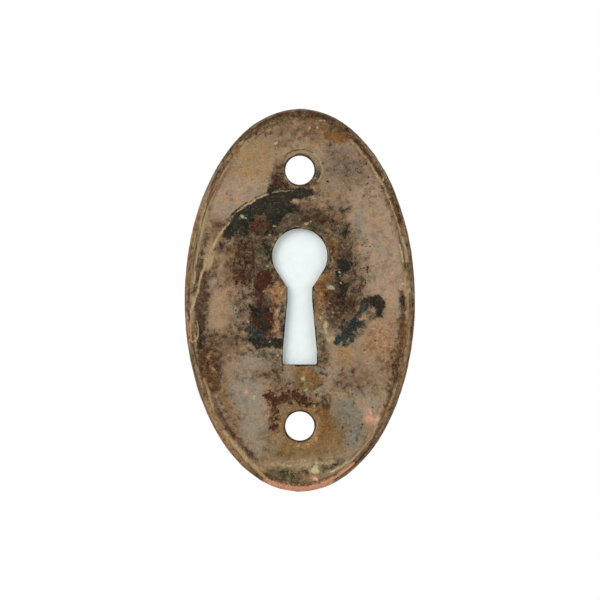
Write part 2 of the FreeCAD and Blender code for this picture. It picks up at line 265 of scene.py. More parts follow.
        patch(0.3, 0.8, (-5, -9.8), (9.4, -9.4), (10.4, -13.6), (4.4, -14.6), (-4.6, -12.4)),
        run(1, 0.72, 0.4, *ring(ROUND_CENTRE, 4.4, 285, 385)),
        run(1.2, 0.66, 0.4, *ring(ROUND_CENTRE, 4.7, 30, 122)),
        patch(0.46, 0.35, (2, 2.6), (4.4, 3.4), (4.8, 0.6), (3.2, -3), (2.1, -1)),
        run(1, 0.8, 0.3, (-13, 3.2), (-13.1, 1), (-13.4, -1.6), (-13.5, -4.4)),
        patch(1, 0.3, (-7.2, 9.4), (-6.8, 11.4), (-5.4, 12), (-4.1, 11.4), (-3.5, 9.8), (-5.4, 8.8)),
        run(1.2, 0.6, 0.5, (3.8, 23), (5.6, 22.2)),
        run(0.6, 0.66, 0.25, (-14.75, 7.4), (-14.95, 5.6), (-15.1, 4)),
        patch(0.74, 0.35, (-4.2, 2.8), (-2.4, 2.4), (-2, 1.2), (-2.1, -1), (-2.7, -5.2), (-4, -5),
            (-4.4, -1.4)),
        run(0.8, 0.8, 0.3, (-4, 4.4), (-3.2, 3.2), (-2.2, 2.1)),
        # The rim's outer band, all the way round, heavier at the top: partly dirt, partly painted shade on
        # the slope that turns away from the light.
        run(0.75, 0.5, 0.3, *rim(-172, 150, 0.55, 48)), run(1.2, 0.85, 0.3, *rim(-30, 26, 0.8)),
        # Dirt that lies in the bend inside the rim.
        run(0.45, 0.72, 0.25, (-12.7, 14.6), (-12.2, 15.7), (-11.3, 17.1), (-10.2, 18.6), (-9.4, 19.7),
            (-8.6, 20.8), (-7.6, 21.9), (-6.5, 22.9), (-5.2, 23.9)),
        run(0.75, 0.85, 0.25, (3.4, 25), (4.6, 24.5), (5.6, 23.8), (6.5, 23.3), (7.2, 22.4), (7.9, 21.7),
            (8.7, 20.9), (9.2, 20.1), (10, 18.9), (10.6, 18), (11.2, 17.1), (12, 15.8), (12.5, 14.6),
            (12.9, 13.4), (13.4, 12), (13.8, 10.6)),
        run(0.65, 0.9, 0.25, (-12.6, 9.2), (-12.9, 8.2), (-13.2, 7), (-13.45, 6), (-13.6, 5), (-13.8, 4),
            (-13.95, 3), (-14.2, 2), (-14.5, 1)),
        run(0.8, 1, 0.25, (-13.1, 3.4), (-13.3, 2), (-13.5, 1), (-13.7, 0), (-13.9, -1), (-14, -2),
            (-13.8, -3), (-13.6, -4.2), (-13.6, -5.4), (-13.8, -6.6)),
        run(0.6, 0.9, 0.25, (-12.7, -10.4), (-12.2, -12.2), (-11.55, -13.9), (-11.05, -15.2), (-10.5, -16.3),
            (-9.9, -17.3), (-9.3, -18.2), (-8.5, -19.2), (-7.6, -20.2), (-6.9, -21), (-6, -22)),
        run(1.3, 0.5, 0.4, (-11, -13.6), (-10.4, -15.4), (-9.6, -16.9)),
        run(0.8, 0.95, 0.25, (14.1, 1), (14.15, -0.5), (14.2, -2), (14.1, -3.5), (14, -5), (13.9, -6.5),
            (13.6, -8), (13.2, -9.5), (13, -11)),
        patch(0.68, 0.6, (12.2, -6.8), (14.2, -6), (13.9, -9), (13.4, -12), (12.4, -14.4), (11.4, -15.9),
            (11, -15), (11.6, -13), (12, -11), (11.8, -9)),
        patch(0.78, 0.5, (-14.3, -6), (-12.6, -5.8), (-11, -6.6), (-10.6, -8.2), (-10.4, -11), (-11, -13.6),
            (-12, -13), (-12.7, -11), (-13.4, -9.4), (-14.1, -8)),
        # Around the keyhole.
        patch(0.6, 0.5, (4.4, 1.4), (7.6, 0.6), (8.6, -0.4), (6.8, -2.6), (5.2, -3.9), (3.8, -2.6),
            (3.4, -0.6)),
        patch(0.4, 0.6, (-10.4, 8.6), (-6, 8.8), (-6, 2.6), (-9.2, 2), (-10.6, 5.2)),
        patch(0.45, 0.5, (-9.6, -2), (-8.8, -5), (-7.6, -4.8), (-7.2, -3.4)),
        patch(0.62, 0.4, (0.2, 12.6), (1.9, 12.4), (3.8, 11.8), (5.6, 10.6), (5, 9.2), (2.6, 10),
            (0.2, 10.6)),
        patch(0.5, 0.4, (4.2, 8.6), (7, 8.4), (7.4, 5.6), (5, 5.6)),
        run(0.7, 0.7, 0.25, (8.3, 2.4), (8.4, 1.6), (8.2, 0.8)),
        run(0.5, 0.8, 0.25, (0, 13.4), (-0.1, 12.4)),
        # Left of the upper screw hole.
        run(0.9, 0.66, 0.4, (-3.1, 18), (-3.1, 17.2)),
        patch(0.85, 0.5, (-4, 17.2), (-2.5, 17.4), (-1.8, 16.3), (-0.9, 15.9), (-1.2, 15), (-3, 15.1),
            (-4.1, 16.2)),
        # Single spots.
        run(0.55, 0.85, 0.25, (-12.35, 12.6), (-12.05, 12.55)),
        run(0.5, 0.7, 0.25, (-4.8, 22.7), (-4.7, 23)), run(0.3, 0.7, 0.25, (-6, 22.1)),
        run(0.4, 1, 0.15, (4.05, 21.45), (4.25, 21.35)), run(0.35, 1, 0.15, (3.15, 18.85)),
        run(0.3, 0.8, 0.15, (3.75, 17.85)), run(0.35, 0.7, 0.15, (6.3, 17)),
        run(0.3, 0.8, 0.25, (11.5, 15.2), (11.6, 14.9)), run(0.3, 0.75, 0.25, (-10.9, 1.9), (-10.2, 1.8)),
        # Below the keyhole and round the lower screw hole.
        run(0.6, 0.7, 0.25, (-4.2, -9.7), (-3.4, -9.8), (-2.8, -10.7)),
        run(0.9, 0.6, 0.4, (-5.6, -10.4), (-4.6, -10.2)),
        patch(0.65, 0.35, (1.4, -13.4), (3.4, -12.8), (4.6, -13.8), (4.2, -15.8), (2.2, -15.6)),
        run(0.5, 0.7, 0.25, (6.3, -9.4), (7.2, -9.9), (7.5, -10.9)),
        run(0.4, 0.85, 0.25, (3.1, -10), (3.6, -10.4)), run(0.8, 0.6, 0.4, (7.2, -11.4), (7.6, -12.4)),
        run(0.9, 0.6, 0.4, (8, -19), (8.6, -18.6)),
        # Under the rim at the bottom.
        run(0.5, 0.9, 0.25, (-4.6, -23.9), (-3.2, -24.6), (-1.6, -24.9), (-0.4, -25.1)),
        run(0.4, 0.9, 0.25, *rim(140, 158, 0.5)),
    ],
    "rust": [
        run(0.2, 0.62, 0.12, *rim(90, 168, 0.12, 32)), run(0.2, 0.62, 0.12, *rim(192, 262, 0.12, 32)),
        patch(0.34, 0.9, (9.4, -2.8), (12.9, -2.2), (13.4, -6.8), (11.6, -9.4), (9, -6)),
        run(0.7, 0.8, 0.35, (-8.7, 20.3), (-8.3, 20.8)), run(0.8, 0.75, 0.35, (-9.5, 19.2), (-9.2, 19.6)),
        run(0.6, 0.7, 0.3, (-11.4, 15.4), (-11.2, 15.7)), run(1, 0.5, 0.5, (-9.7, 14.4)),
        run(1.2, 0.9, 0.4, (4, 22.5), (5.8, 22.3)), run(1, 0.6, 0.4, (1.2, 24.8), (1.6, 24.4)),
        run(1, 0.6, 0.5, (3, 23.4), (3.5, 23.9)),
        patch(0.85, 0.5, (3.2, 22.4), (4.4, 22.9), (5.6, 22.9), (6.2, 21.9), (5.4, 21.6), (4.4, 21.9)),
        run(0.7, 0.55, 0.35, (2, 14.9), (2.5, 15.4)),
        patch(0.85, 0.25, (4, 8.4), (4.7, 8.2), (5.4, 7.4), (4.8, 6.9), (4.2, 7.3)),
        patch(0.5, 0.3, (2, 2.4), (3, 3.4), (4.1, 4), (4.5, 3.2), (3.4, 2.2), (4.4, 1.2), (3.8, 0.2),
            (2.8, -0.6), (2, 0), (1.9, 1.3)),
        run(0.8, 0.62, 0.3, (14.2, -3), (14, -5), (13.8, -7)),
        patch(0.72, 0.35, (-0.6, -9.1), (1.4, -9.2), (1.9, -10.3), (3.2, -10.8), (1.6, -11.2), (0, -10.2)),
        patch(0.66, 0.4, (2.9, -15.4), (4.1, -15.8), (4.4, -18.2), (3.7, -19.4), (2.9, -18.6)),
        run(0.5, 0.6, 0.3, (2.4, -18.9), (1.4, -19.7), (0, -19.9), (-1.4, -19.6)),
        run(1.6, 0.42, 0.6, (-10.2, -11.6), (-9.4, -14.4), (-8.4, -16.6)),
        run(1.2, 0.6, 0.4, (-4.4, -12.4), (-3.6, -14.4), (-3.6, -17)),
        run(1, 0.5, 0.4, (-2.8, -12), (-0.6, -12.4)),
        run(0.7, 0.7, 0.25, (2, -15.2), (3, -15.5), (4, -15.3)), run(0.5, 0.8, 0.25, (-3.6, 0.7), (-3, 1.1)),
        run(0.6, 0.7, 0.25, (11.6, -15.4), (12, -14.8)), run(0.6, 0.6, 0.3, (-8.8, -14.2)),
        run(0.5, 0.6, 0.3, (-11.2, -12.6)), run(1.2, 0.55, 0.5, (-13.2, -7.6), (-12.6, -9.4), (-12, -10.8)),
        run(0.4, 0.6, 0.25, *rim(196, 178, 0.8)), run(0.8, 0.5, 0.3, (-3, -14.9), (-2.4, -14.4)),
        run(0.5, 0.5, 0.25, *rim(-62, -80, 0.35)),
    ],
    "amber": [
        run(0.7, 0.75, 0.3, *ring(LOWER_SCREW, 2.7, 15, 165)),
        patch(0.42, 0.9, (9.2, -2.8), (12.9, -2.2), (13.4, -6.8), (11.6, -9.4), (8.8, -6)),
        # Warm grains between the maroon and the slot.
        patch(0.64, 0.3, (-4.2, 1.6), (-3.6, 2.6), (-2.8, 2.4), (-2.1, 1.4), (-2, -0.4), (-2.4, -1),
            (-3.4, -0.6), (-4.4, 0.4)),
        patch(0.6, 0.25, (-3.6, -1), (-2.6, -1), (-2.7, -4.6), (-3.2, -5), (-3.9, -4.6), (-3.6, -2.8)),
        run(1.2, 0.42, 0.4, (2.4, 2.8), (3.4, 3.4), (4.2, 3.6)),
        run(1.4, 0.5, 0.4, (2.6, 0.6), (3, -1), (2.8, -2.4)),
        # The warm ring round the lower screw hole.
        run(0.7, 0.62, 0.35, *ring(LOWER_SCREW, 2.8, 20, 330)),
        run(0.6, 0.5, 0.3, *ring(LOWER_SCREW, 2.5, 0, 360)),
        # The rim's warm band.
        run(0.8, 0.75, 0.3, (-12.6, -14.2), (-11.8, -16), (-10.9, -18.2), (-9.8, -20), (-8.4, -21.6),
            (-7, -23)),
        run(0.6, 0.6, 0.25, *rim(92, 132, 0.5)), run(0.4, 0.5, 0.2, *rim(-100, -60, 0.3)),
        run(0.5, 0.45, 0.25, *rim(20, 70, 0.5)), run(1.4, 0.45, 0.6, (12.8, -3), (12.8, -7), (12.2, -10.6)),
        run(1.2, 0.42, 0.5, (-12.4, -7), (-11.8, -10)), run(1.2, 0.5, 0.3, (1, -9.6), (0.6, -10.6)),
        run(0.8, 0.6, 0.4, (5.8, -7), (6.2, -7.8)),
    ],
    "maroon": [
        patch(1.15, 0.2, (-6.3, 2.4), (-6, 3.6), (-5, 4.1), (-4.1, 3.9), (-3.4, 3), (-3.6, 2), (-4.6, 1.6),
            (-5, 0.4), (-4.9, -0.8), (-5.8, -0.8), (-6, 0.6), (-6.2, 1.4)),
        patch(1.1, 0.2, (-6.9, -1.5), (-5.8, -0.9), (-4.4, -0.9), (-3.8, -1.6), (-3.7, -2.8), (-3.9, -4.2),
            (-3.9, -5), (-5, -4.6), (-6.2, -3.9), (-6.8, -3)),
        patch(0.6, 0.4, (-9.2, 2.4), (-9.3, 5), (-8.6, 7), (-6.8, 7.2), (-6, 5.6), (-6, 3.4), (-6.6, 1.4),
            (-8, 1.4)),
        patch(0.52, 0.5, (-8.8, 6.8), (-8.6, 8.8), (-6.2, 8.8), (-6.2, 6.4), (-7.6, 6)),
        patch(0.45, 0.4, (-7.2, 0.8), (-6.2, 1.2), (-5.6, -0.8), (-6.6, -1.4)),
        patch(0.56, 0.5, (-6.7, 9.1), (-6.6, 10.6), (-5.8, 11.3), (-4.6, 11), (-4.3, 9.6), (-5.4, 8.9)),
        patch(0.42, 0.4, (4.6, 1.6), (6.4, 0.6), (7.8, -1), (5.6, -3.4), (4.4, -2)),
        run(0.8, 0.6, 0.4, (-3.4, 16.7), (-2.8, 16.9)), run(0.8, 0.6, 0.3, (-2.6, 15.7), (-1.6, 15.7)),
        run(0.85, 1.5, 0.35, (-4.3, -13.3), (-3.4, -13.7), (-2.7, -13.4), (-1.8, -13.1), (-0.9, -13),
            (0, -13.3), (0.9, -13.8)),
        run(0.45, 0.95, 0.2, (-1.9, -13.6), (-1.2, -13.7), (-0.4, -13.4)),
        run(0.55, 1.2, 0.35, (-3.6, -13.9), (-3.3, -15.2), (-3.4, -16.4), (-3.5, -17.6)),
        run(0.45, 0.9, 0.2, (-3.7, -17.2), (-3.4, -17.7)), run(0.4, 0.8, 0.2, (-1.7, -14.2), (-1.1, -14.3)),
        run(0.45, 0.75, 0.2, (-3.3, -12.1), (-2.5, -12.6), (-1.9, -12.1), (-1.6, -11.6)),
        run(0.4, 0.5, 0.3, (0.8, -13.7), (1.6, -14.1), (2.6, -14.4), (3.8, -14.3)),
        run(0.3, 0.7, 0.2, (2.2, -13), (2.7, -12.9), (3.3, -13.5), (3.6, -13.9)),
        run(0.3, 0.8, 0.2, (-3.7, -9.6), (-3.3, -9.9)),
        run(0.6, 0.6, 0.25, (7.3, 0.2), (7.5, -0.5), (7, -0.7)), run(0.5, 0.6, 0.25, (7.9, 1.4), (7.8, 0.4)),
        run(0.5, 0.55, 0.25, (6.4, 5.9), (6.8, 5.7)), run(0.4, 0.7, 0.25, (2.4, 1), (3.6, 0.9)),
        run(0.6, 0.5, 0.3, (4.3, 7.8), (4.9, 7.2)),
        patch(0.6, 0.25, (2.4, 11.4), (3.8, 11.4), (3.9, 10.3), (2.4, 10.3)),
        run(0.8, 0.62, 0.3, *rim(-10, 16, 0.75)), run(0.35, 0.6, 0.25, *rim(-44, -32, 0.3)),
        run(0.3, 0.5, 0.25, (8.2, 16.1)), run(0.3, 0.5, 0.4, (4.4, 20.2)),
        run(1, 0.5, 0.4, (-13.4, -6.6), (-13, -8), (-12.6, -9.6)),
        run(0.8, 0.5, 0.4, (13.4, -9), (13.2, -10.6)), run(0.4, 0.6, 0.25, *rim(60, 68, 0.5)),
        run(0.35, 0.7, 0.25, *rim(90, 100, 0.35)), run(0.4, 0.5, 0.25, (6.2, -1.2), (5.4, -1.4)),
        run(0.5, 0.6, 0.25, (-0.9, 25.6), (-0.4, 25.2)),
    ],
    "moss": [
        run(1.2, 0.5, 0.5, (2.9, -2.8), (3.2, -5), (3.2, -8.6)),
        run(0.8, 0.6, 0.35, *ring(ROUND_CENTRE, 4.3, 300, 372)),
        patch(0.6, 0.3, (-5.3, -6.9), (-2.6, -6.8), (-2.6, -9), (-4.2, -9.3), (-5.2, -8.2)),
        run(0.4, 0.8, 0.2, (2.65, -4.8), (2.8, -6.4), (2.75, -8)),
        run(0.5, 0.55, 0.25, (3.6, -6.4), (3.8, -7.2)),
        patch(0.72, 0.4, (-4.4, -23.1), (-2.6, -23), (-1, -23.3), (0.4, -23.2), (0.4, -24.2), (0.2, -25),
            (-0.6, -25.2), (-1.6, -25), (-3.2, -24.6), (-4.4, -24)),
        patch(0.85, 0.25, (2.8, -22.9), (4, -22.6), (5.4, -21.9), (6.2, -21.7), (5.8, -22.5), (4.6, -23.3),
            (3.2, -23.6)),
        patch(0.66, 0.3, (-6.2, 9), (-3.7, 9.2), (-3.9, 7.4), (-4, 6), (-3.8, 4.6), (-5.4, 4.2), (-6, 5.2),
            (-6.2, 7)),
        run(0.7, 0.85, 0.25, (1.6, 10.1), (2.8, 9.8), (3.7, 9.1)),
        run(0.7, 0.85, 0.3, (2.3, 17.6), (2.5, 16.8), (2.5, 16.3)),
        run(0.6, 0.7, 0.25, (3.4, 12.1), (3.7, 11.9)), run(0.8, 0.45, 0.25, (2.2, 12.4), (1.6, 12.9)),
        run(0.5, 0.6, 0.25, (7.2, 5.6), (7.6, 5.3)), run(0.5, 0.7, 0.25, (10.2, 17.1), (10.4, 17.4)),
        run(0.4, 0.6, 0.25, (12.8, 11.6), (12.6, 11)), run(0.6, 0.6, 0.25, (12.6, 9.2), (13.2, 9)),
        run(0.5, 0.7, 0.25, (3.4, -0.9), (2.8, -1.8), (3.2, -2.3)),
        run(0.9, 0.4, 0.3, (0.6, -12.6), (1.6, -12.2)), run(0.5, 0.5, 0.25, (-12.9, 14.2), (-12.7, 13.4)),
        run(0.5, 0.55, 0.25, (-13.7, 11.8), (-13.8, 11.2)), run(0.5, 0.4, 0.25, (6, 11.2), (6.6, 11.6)),
        run(0.5, 0.45, 0.4, (-9, 0.4), (-8.6, -0.6)), run(0.4, 0.35, 0.6, (5.4, 14), (4.8, 14.4)),
    ],
    "soot": [
        # The crescent between the upper screw hole and the keyhole.
        patch(1.2, 0.22, (-9.2, 11.7), (-8.4, 12.2), (-7.6, 12.75), (-6.6, 13.4), (-5.4, 14), (-4.4, 14.5),
            (-2.4, 15), (-0.9, 15.3), (0.5, 15.4), (1.5, 15.2), (1.6, 14.5), (0.8, 14.05), (-0.9, 14.1),
            (-1.4, 13.5), (-0.3, 13), (-0.4, 12), (-1.7, 12), (-2.5, 11.2), (-2.8, 10.4), (-3.8, 10),
            (-4.3, 11), (-5, 11.7), (-6.1, 11.6), (-6.8, 10.6), (-7.4, 9.6), (-8.2, 9.2), (-9.4, 8.7),
            (-10.6, 8.7), (-10.3, 9.7), (-9.6, 10.7)),
        patch(1, 0.2, (-4.6, 14.9), (-4.3, 15.7), (-3.6, 15.9), (-3, 15.5), (-2.8, 15)),
        run(0.18, 0.95, 0.12, (-3.2, 15.05), (-4.4, 14.75), (-5.4, 14.4), (-6.1, 14), (-6.9, 13.55),
            (-7.7, 13.1), (-8.5, 12.5), (-9.1, 12), (-9.9, 11.1)),
        run(0.9, 0.8, 0.25, (-9.8, 8.8), (-8.5, 9.2), (-7.2, 9)),
        run(0.7, 0.62, 0.4, (-6.4, 8.8), (-5, 8.8), (-3.8, 9.6)),
        run(0.7, 0.95, 0.2, (-10.9, 7.9), (-10.6, 7.5)),
        # Beside and over the keyhole's round.
        run(0.6, 0.95, 0.25, (-4.3, 6.4), (-4.4, 7), (-4.8, 7.6)),
        run(0.5, 0.8, 0.25, (-5.2, 5.2), (-5.4, 5.6)), run(0.5, 0.7, 0.25, (-5.8, 8.3), (-4.9, 8.6)),
        run(0.5, 0.6, 0.25, (1.7, 10.1), (2.8, 9.7), (3.6, 9.1)),
        run(0.5, 0.75, 0.25, (0.4, 11.6), (0.9, 11.5), (1.4, 11.3)),
        run(0.4, 0.7, 0.25, (0.9, 12.3), (1.2, 12.2)),
        run(0.6, 0.8, 0.25, (4.1, 11.3), (4.5, 10.8), (4.8, 10.3)),
        patch(0.9, 0.3, (5.6, 9.7), (6.3, 10), (7, 10.5), (7, 9.8), (6.7, 9.1), (6.3, 8.6), (5.8, 8.8)),
        # The black hook at the streak's upper end.
        patch(1.2, 0.16, (9.2, -0.1), (9.8, 0.4), (10.2, 0.8), (10.9, 0.7), (11.4, 0.2), (11.7, -0.6),
            (11.5, -1.5), (11.3, -2.3), (10.9, -2.6), (10.4, -2.2), (10.5, -1.5), (10.4, -0.9), (9.8, -0.7)),
        run(0.6, 1, 0.2, (8.4, -0.8), (9.1, -0.1), (9.9, 0.25)),
        run(0.8, 0.95, 0.3, (-5.9, -1.3), (-5.2, -1.7), (-4.6, -1.5)),
        run(1.1, 1.05, 0.4, (-5.6, -2.2), (-5.2, -3.2), (-4.8, -4)),
        run(1, 0.8, 0.3, (-3.7, 10.8), (-3.2, 9.6)), run(0.8, 0.6, 0.3, (-4.6, 8.2), (-4.2, 7), (-4.2, 5.8)),
        run(0.35, 0.9, 0.15, (6.9, 10.4)),
        patch(0.95, 0.25, (5.3, 12.4), (6, 12.6), (6.9, 12.8), (6.9, 12.2), (6.3, 11.8), (5.6, 11.9)),
        patch(1.1, 0.3, (5.1, 4.6), (5.3, 5.4), (5.8, 5.8), (6.4, 5.5), (7, 5.3), (7.5, 4.8), (7, 4.2),
            (6.1, 4), (5.5, 4.1)),
        run(1, 0.85, 0.3, (5.3, 4), (5.6, 3), (5.8, 2.2)),
        patch(1, 0.25, (5.2, 2.6), (6.7, 2.5), (6.8, 1.6), (6.5, 0.8), (5.9, 0.1), (5.2, 0.4), (5.3, 1.4)),
        run(0.8, 0.62, 0.3, (4.4, 0.2), (5.2, -0.4), (6.2, -0.8)),
        run(0.7, 0.55, 0.25, (5.6, 6.5), (5.2, 6.2)), run(0.25, 0.9, 0.12, (8.85, 4.45)),
        run(0.3, 0.7, 0.25, (7.3, 4.5), (7.3, 4)), run(0.5, 0.5, 0.25, (4.3, 0), (4.8, -0.4)),
        # Left and below the slot.
        patch(1.15, 0.18, (-7.1, -4.9), (-5.4, -5.1), (-4, -5.3), (-2.5, -5.2), (-2.4, -6.7), (-3.6, -6.4),
            (-4.6, -6.4), (-5.8, -6.7), (-6.4, -6.4), (-6.9, -5.7)),
        run(0.9, 0.62, 0.25, (-5.8, -1.7), (-5.4, -2.6), (-4.8, -3)),
        run(0.45, 1, 0.15, (-7.8, -0.3), (-7.4, -0.6)), run(0.28, 0.9, 0.12, (-7, -0.9), (-6.7, -1)),
        run(0.3, 1, 0.12, (-6.6, -1.35)), run(0.3, 0.75, 0.2, (-8.9, -3.2), (-8.7, -3.5)),
        run(0.25, 0.9, 0.12, (-6.9, 2.6)),
        # In the bend of the rim.
        run(0.7, 0.95, 0.25, (-13.9, -3.4), (-13.7, -4.4), (-13.6, -5.4), (-13.5, -6.4)),
        run(0.3, 0.6, 0.2, (14.35, 5), (14.4, 4.4), (14.35, 4)), run(0.25, 0.9, 0.12, (14.85, 4.6)),
        run(0.5, 0.62, 0.3, (14, 0.3), (14.1, -0.6)), run(0.4, 0.8, 0.25, (6.4, 23.4), (6.7, 23.2)),
        run(0.4, 0.75, 0.25, (7.5, 21.9), (7.8, 21.5)),
        # Single specks.
        run(0.25, 0.9, 0.12, (8.5, 18.3)), run(0.25, 0.9, 0.12, (9.05, 18.65)),
        run(0.2, 0.8, 0.12, (8.3, 17.9)), run(0.3, 0.95, 0.12, (9.4, 16)),
        run(0.25, 0.7, 0.15, (9.35, 16.9)), run(0.25, 0.3, 0.3, (-8.6, 17.4)),
        # At the bottom.
        run(0.8, 0.62, 0.3, (-2.3, -23.5), (-1.5, -23.8), (-0.9, -24.1)),
        run(0.5, 0.85, 0.25, (0.8, -23.1), (0.9, -23.5)), run(0.5, 0.5, 0.25, (0.6, -25), (1.2, -25.1)),
        run(0.5, 0.7, 0.25, (3.1, -23), (3.7, -23.1)), run(0.4, 0.7, 0.25, (4.6, -22.5), (4.9, -22.6)),
        # Specks in the grey patch at the lower right.
        run(0.22, 0.5, 0.25, (7.3, -11.2), (7.2, -12.6), (7.5, -13.9), (7.4, -15.4)),
        run(0.22, 0.45, 0.25, (5.4, -14.6), (6.6, -14.2), (7.4, -14.6)),
        run(0.22, 0.48, 0.2, (7.4, -16), (8.2, -15.2)),
        run(0.22, 0.48, 0.2, (5.2, -16.6), (5.8, -17.6), (6.3, -17.9)),
        run(0.3, 0.52, 0.25, (6.2, -19.8), (6.8, -18.9), (7.2, -17.8)), run(0.3, 0.55, 0.15, (9.95, -14.65)),
        run(0.3, 0.6, 0.15, (7.4, -15.2)), run(0.3, 0.7, 0.15, (5.8, -17.3)),
        run(0.35, 0.85, 0.15, (7, -17.9)), run(0.4, 0.9, 0.15, (6.7, -19.7)),
        run(0.3, 0.9, 0.15, (7.3, -19.6)), run(0.4, 0.7, 0.2, (8.4, -17.6)), run(0.3, 0.7, 0.15, (8.6, -17)),
        run(0.3, 0.6, 0.15, (6.3, -18.6)), *specks(3, 24, 6.9, 9.8, 0.8, 8.4),
        *specks(5, 12, 3.6, 10.6, 13.6, 19.6), *specks(8, 10, 8.4, 12.6, -8.6, -1.8),
        *specks(11, 10, -9.2, -6.8, -4.6, 1.8),
        # The dark line on the keyhole's edge.
        run(0.3, 0.9, 0.12, *keyhole_edge()),
    ],
    "teal": [
        # The long streak to the lower right, with its hook.
        patch(1.1, 0.2, (4.5, -5.6), (5, -5), (5.9, -4.2), (6.6, -3.4), (7.4, -2.3), (8.2, -1.2), (9, -0.5),
            (9.8, -0.3), (9.4, -1.1), (8.7, -1.6), (8, -2.4), (8.5, -2.8), (8.9, -3.3), (8.2, -3.8),
            (7.7, -3.6), (7.2, -4.2), (6.9, -4.9), (6.2, -5.4), (5.3, -6.1), (4.7, -6.1)),
        run(0.5, 0.95, 0.25, (5.8, -6.2), (6.8, -5.6), (7.6, -5), (8.3, -4.5)),
        run(0.7, 0.85, 0.3, (6.6, -4.9), (7.4, -4.2), (8, -3.4), (8.7, -3.1)),
        run(0.6, 0.7, 0.25, (5, -4.2), (5.7, -3.7), (6.4, -3), (6.9, -2.3)),
        run(0.5, 0.6, 0.25, (7.6, -0.4), (8.6, 0.2), (9.4, 0.4)),
        # Beside the slot on the left.
        patch(1.1, 0.25, (-7.4, -3.1), (-6.8, -3.3), (-6.2, -4.1), (-5.2, -4.3), (-4.4, -5), (-5.4, -5.4),
            (-6.6, -5.1), (-7.2, -4.4)),
        run(0.6, 0.95, 0.25, (-2.3, -0.9), (-2.3, -2.2), (-2.3, -3.4), (-2.5, -4.6)),
        run(0.4, 0.6, 0.25, (-7.3, 12.5), (-6.4, 12.9)),
        run(1.5, 0.46, 0.6, (-8.8, 10.4), (-7.4, 11.4), (-5.8, 12.6)),
        run(1.2, 0.42, 0.6, (-3.6, 13.2), (-2.2, 12.8)), run(0.5, 0.6, 0.25, (-9.8, 10.2), (-9, 11)),
    ],
    "verdigris": [
        run(0.45, 1, 0.15, (-7.95, 11.5), (-7.85, 11.4)), run(0.25, 0.9, 0.12, (-7.4, 11.3)),
        run(0.4, 0.6, 0.3, (-8.3, 11.2)),
        patch(1, 0.3, (3.7, 1.95), (4.3, 2.15), (4.8, 1.9), (4.6, 1.4), (4, 1.4)),
        run(0.3, 0.75, 0.15, (5.4, 3.9), (5.5, 3.8)), run(0.4, 0.8, 0.25, (0.3, -10.8), (0.65, -10.65)),
        run(0.4, 0.75, 0.2, (0.7, -12.3), (1, -12.2)), run(0.6, 0.62, 0.25, (2.2, -12.4), (2.9, -12.2)),
        run(0.3, 0.5, 0.2, (8, 20.9), (8.4, 20.3)), run(0.35, 0.5, 0.2, (9.6, 18.8), (9.9, 18.2)),
        run(0.25, 0.95, 0.12, (10.3, 17.5)), run(0.25, 0.9, 0.12, (11.4, 16.4), (11.5, 16.7)),
        run(0.3, 0.9, 0.12, (2.8, -2.5)), run(0.3, 0.8, 0.15, (-4.1, 8.9)), run(0.3, 0.7, 0.15, (-4.4, 4.7)),
        run(0.25, 0.9, 0.12, (-7, -2.9)), run(0.3, 0.55, 0.2, (-4.5, -7.4), (-4, -7.6)),
        run(0.3, 0.9, 0.15, (-2.2, 17.6)), run(0.3, 0.8, 0.15, (2.1, 16.85)),
        run(0.35, 0.7, 0.15, (15.05, 1.5), (15, 1.2)),
    ],
    "pale": [
        patch(0.78, 0.28, (3.3, -2.8), (3.9, -3), (3.9, -4.2), (3.6, -5), (3.3, -4.4)),
        patch(0.6, 0.3, (3.5, -5.1), (4.6, -4.9), (4.9, -5.2), (4.2, -5.8), (3.6, -5.8)),
        run(0.26, 0.6, 0.2, (4.25, 6.7), (4.4, 6), (4.5, 5.4), (4.35, 4.9), (4.05, 4.5)),
        run(0.32, 0.7, 0.25, (0.75, 10.4), (1.1, 10.5), (1.45, 10.75)),
        patch(1, 0.2, (1.3, -23.6), (1.8, -22.9), (2.3, -22.6), (2.7, -23.5), (2, -23.9)),
        run(0.5, 0.6, 0.25, (2.8, -22.35), (3.8, -22.3), (4.5, -21.9)),
        run(0.6, 0.55, 0.3, (-2.4, -22.6), (-0.6, -22.7), (1.4, -22.5), (2.4, -22.2)),
        run(0.35, 0.45, 0.25, (-5.2, -22.6), (-2, -22.2), (1.4, -21.9), (4.4, -21.5), (6.4, -21),
            (8.2, -20.3)),
        run(0.3, 0.45, 0.2, (-1.6, -25.1), (0.2, -25.3), (2.2, -25)),
        # Light lines along the rim's crest at the upper right: painted highlight, partly rubbed.
        run(0.25, 0.48, 0.2, (9.6, 19), (9.9, 18.4), (10.25, 17.6), (10.8, 16.7), (11.3, 15.9),
            (11.9, 14.9)),
        run(0.3, 0.6, 0.2, (12.1, 14.3), (12.5, 13.2), (12.9, 11.9), (13.3, 10.8), (13.7, 9.6)),
        run(0.3, 1, 0.12, (14.1, 2.25)), run(0.3, 0.6, 0.15, (2.3, 24), (2.4, 23.6)),
        run(0.35, 0.55, 0.2, (2.6, 24.65), (3.4, 24.6)), run(0.25, 0.9, 0.12, (-3.4, 21.5), (-3.2, 21.55)),
        run(0.2, 1, 0.1, (5.5, 3.3)), run(0.2, 1, 0.1, (5.55, 2.4)), run(0.18, 0.9, 0.1, (4.35, -1.65)),
        run(0.22, 1, 0.1, (-4.15, -5.7)), run(0.3, 0.7, 0.15, (-3.6, 10.1), (-3.3, 10.1)),
        run(0.3, 0.45, 0.25, (5.8, 7.5), (6.2, 7)),
        # A light line along the rim's crest on the right: painted highlight, partly rubbed.
        run(0.35, 0.6, 0.2, (13.6, 7.6), (13.9, 6.5), (14.1, 5.2)),
        run(0.35, 0.6, 0.3, (-0.9, 13.8), (-0.2, 13.5)), run(0.9, 0.38, 0.4, (0.2, -11), (1.6, -11.6)),
        run(0.35, 0.5, 0.3, (1.2, 14), (2, 13.9)), run(0.4, 0.7, 0.2, (-6.2, -13.2), (-6.3, -13.6)),
        run(0.2, 0.7, 0.12, (4, -0.4), (4.5, -0.5)), run(0.3, 0.35, 0.2, (5, -1.7), (7.2, -1.6)),
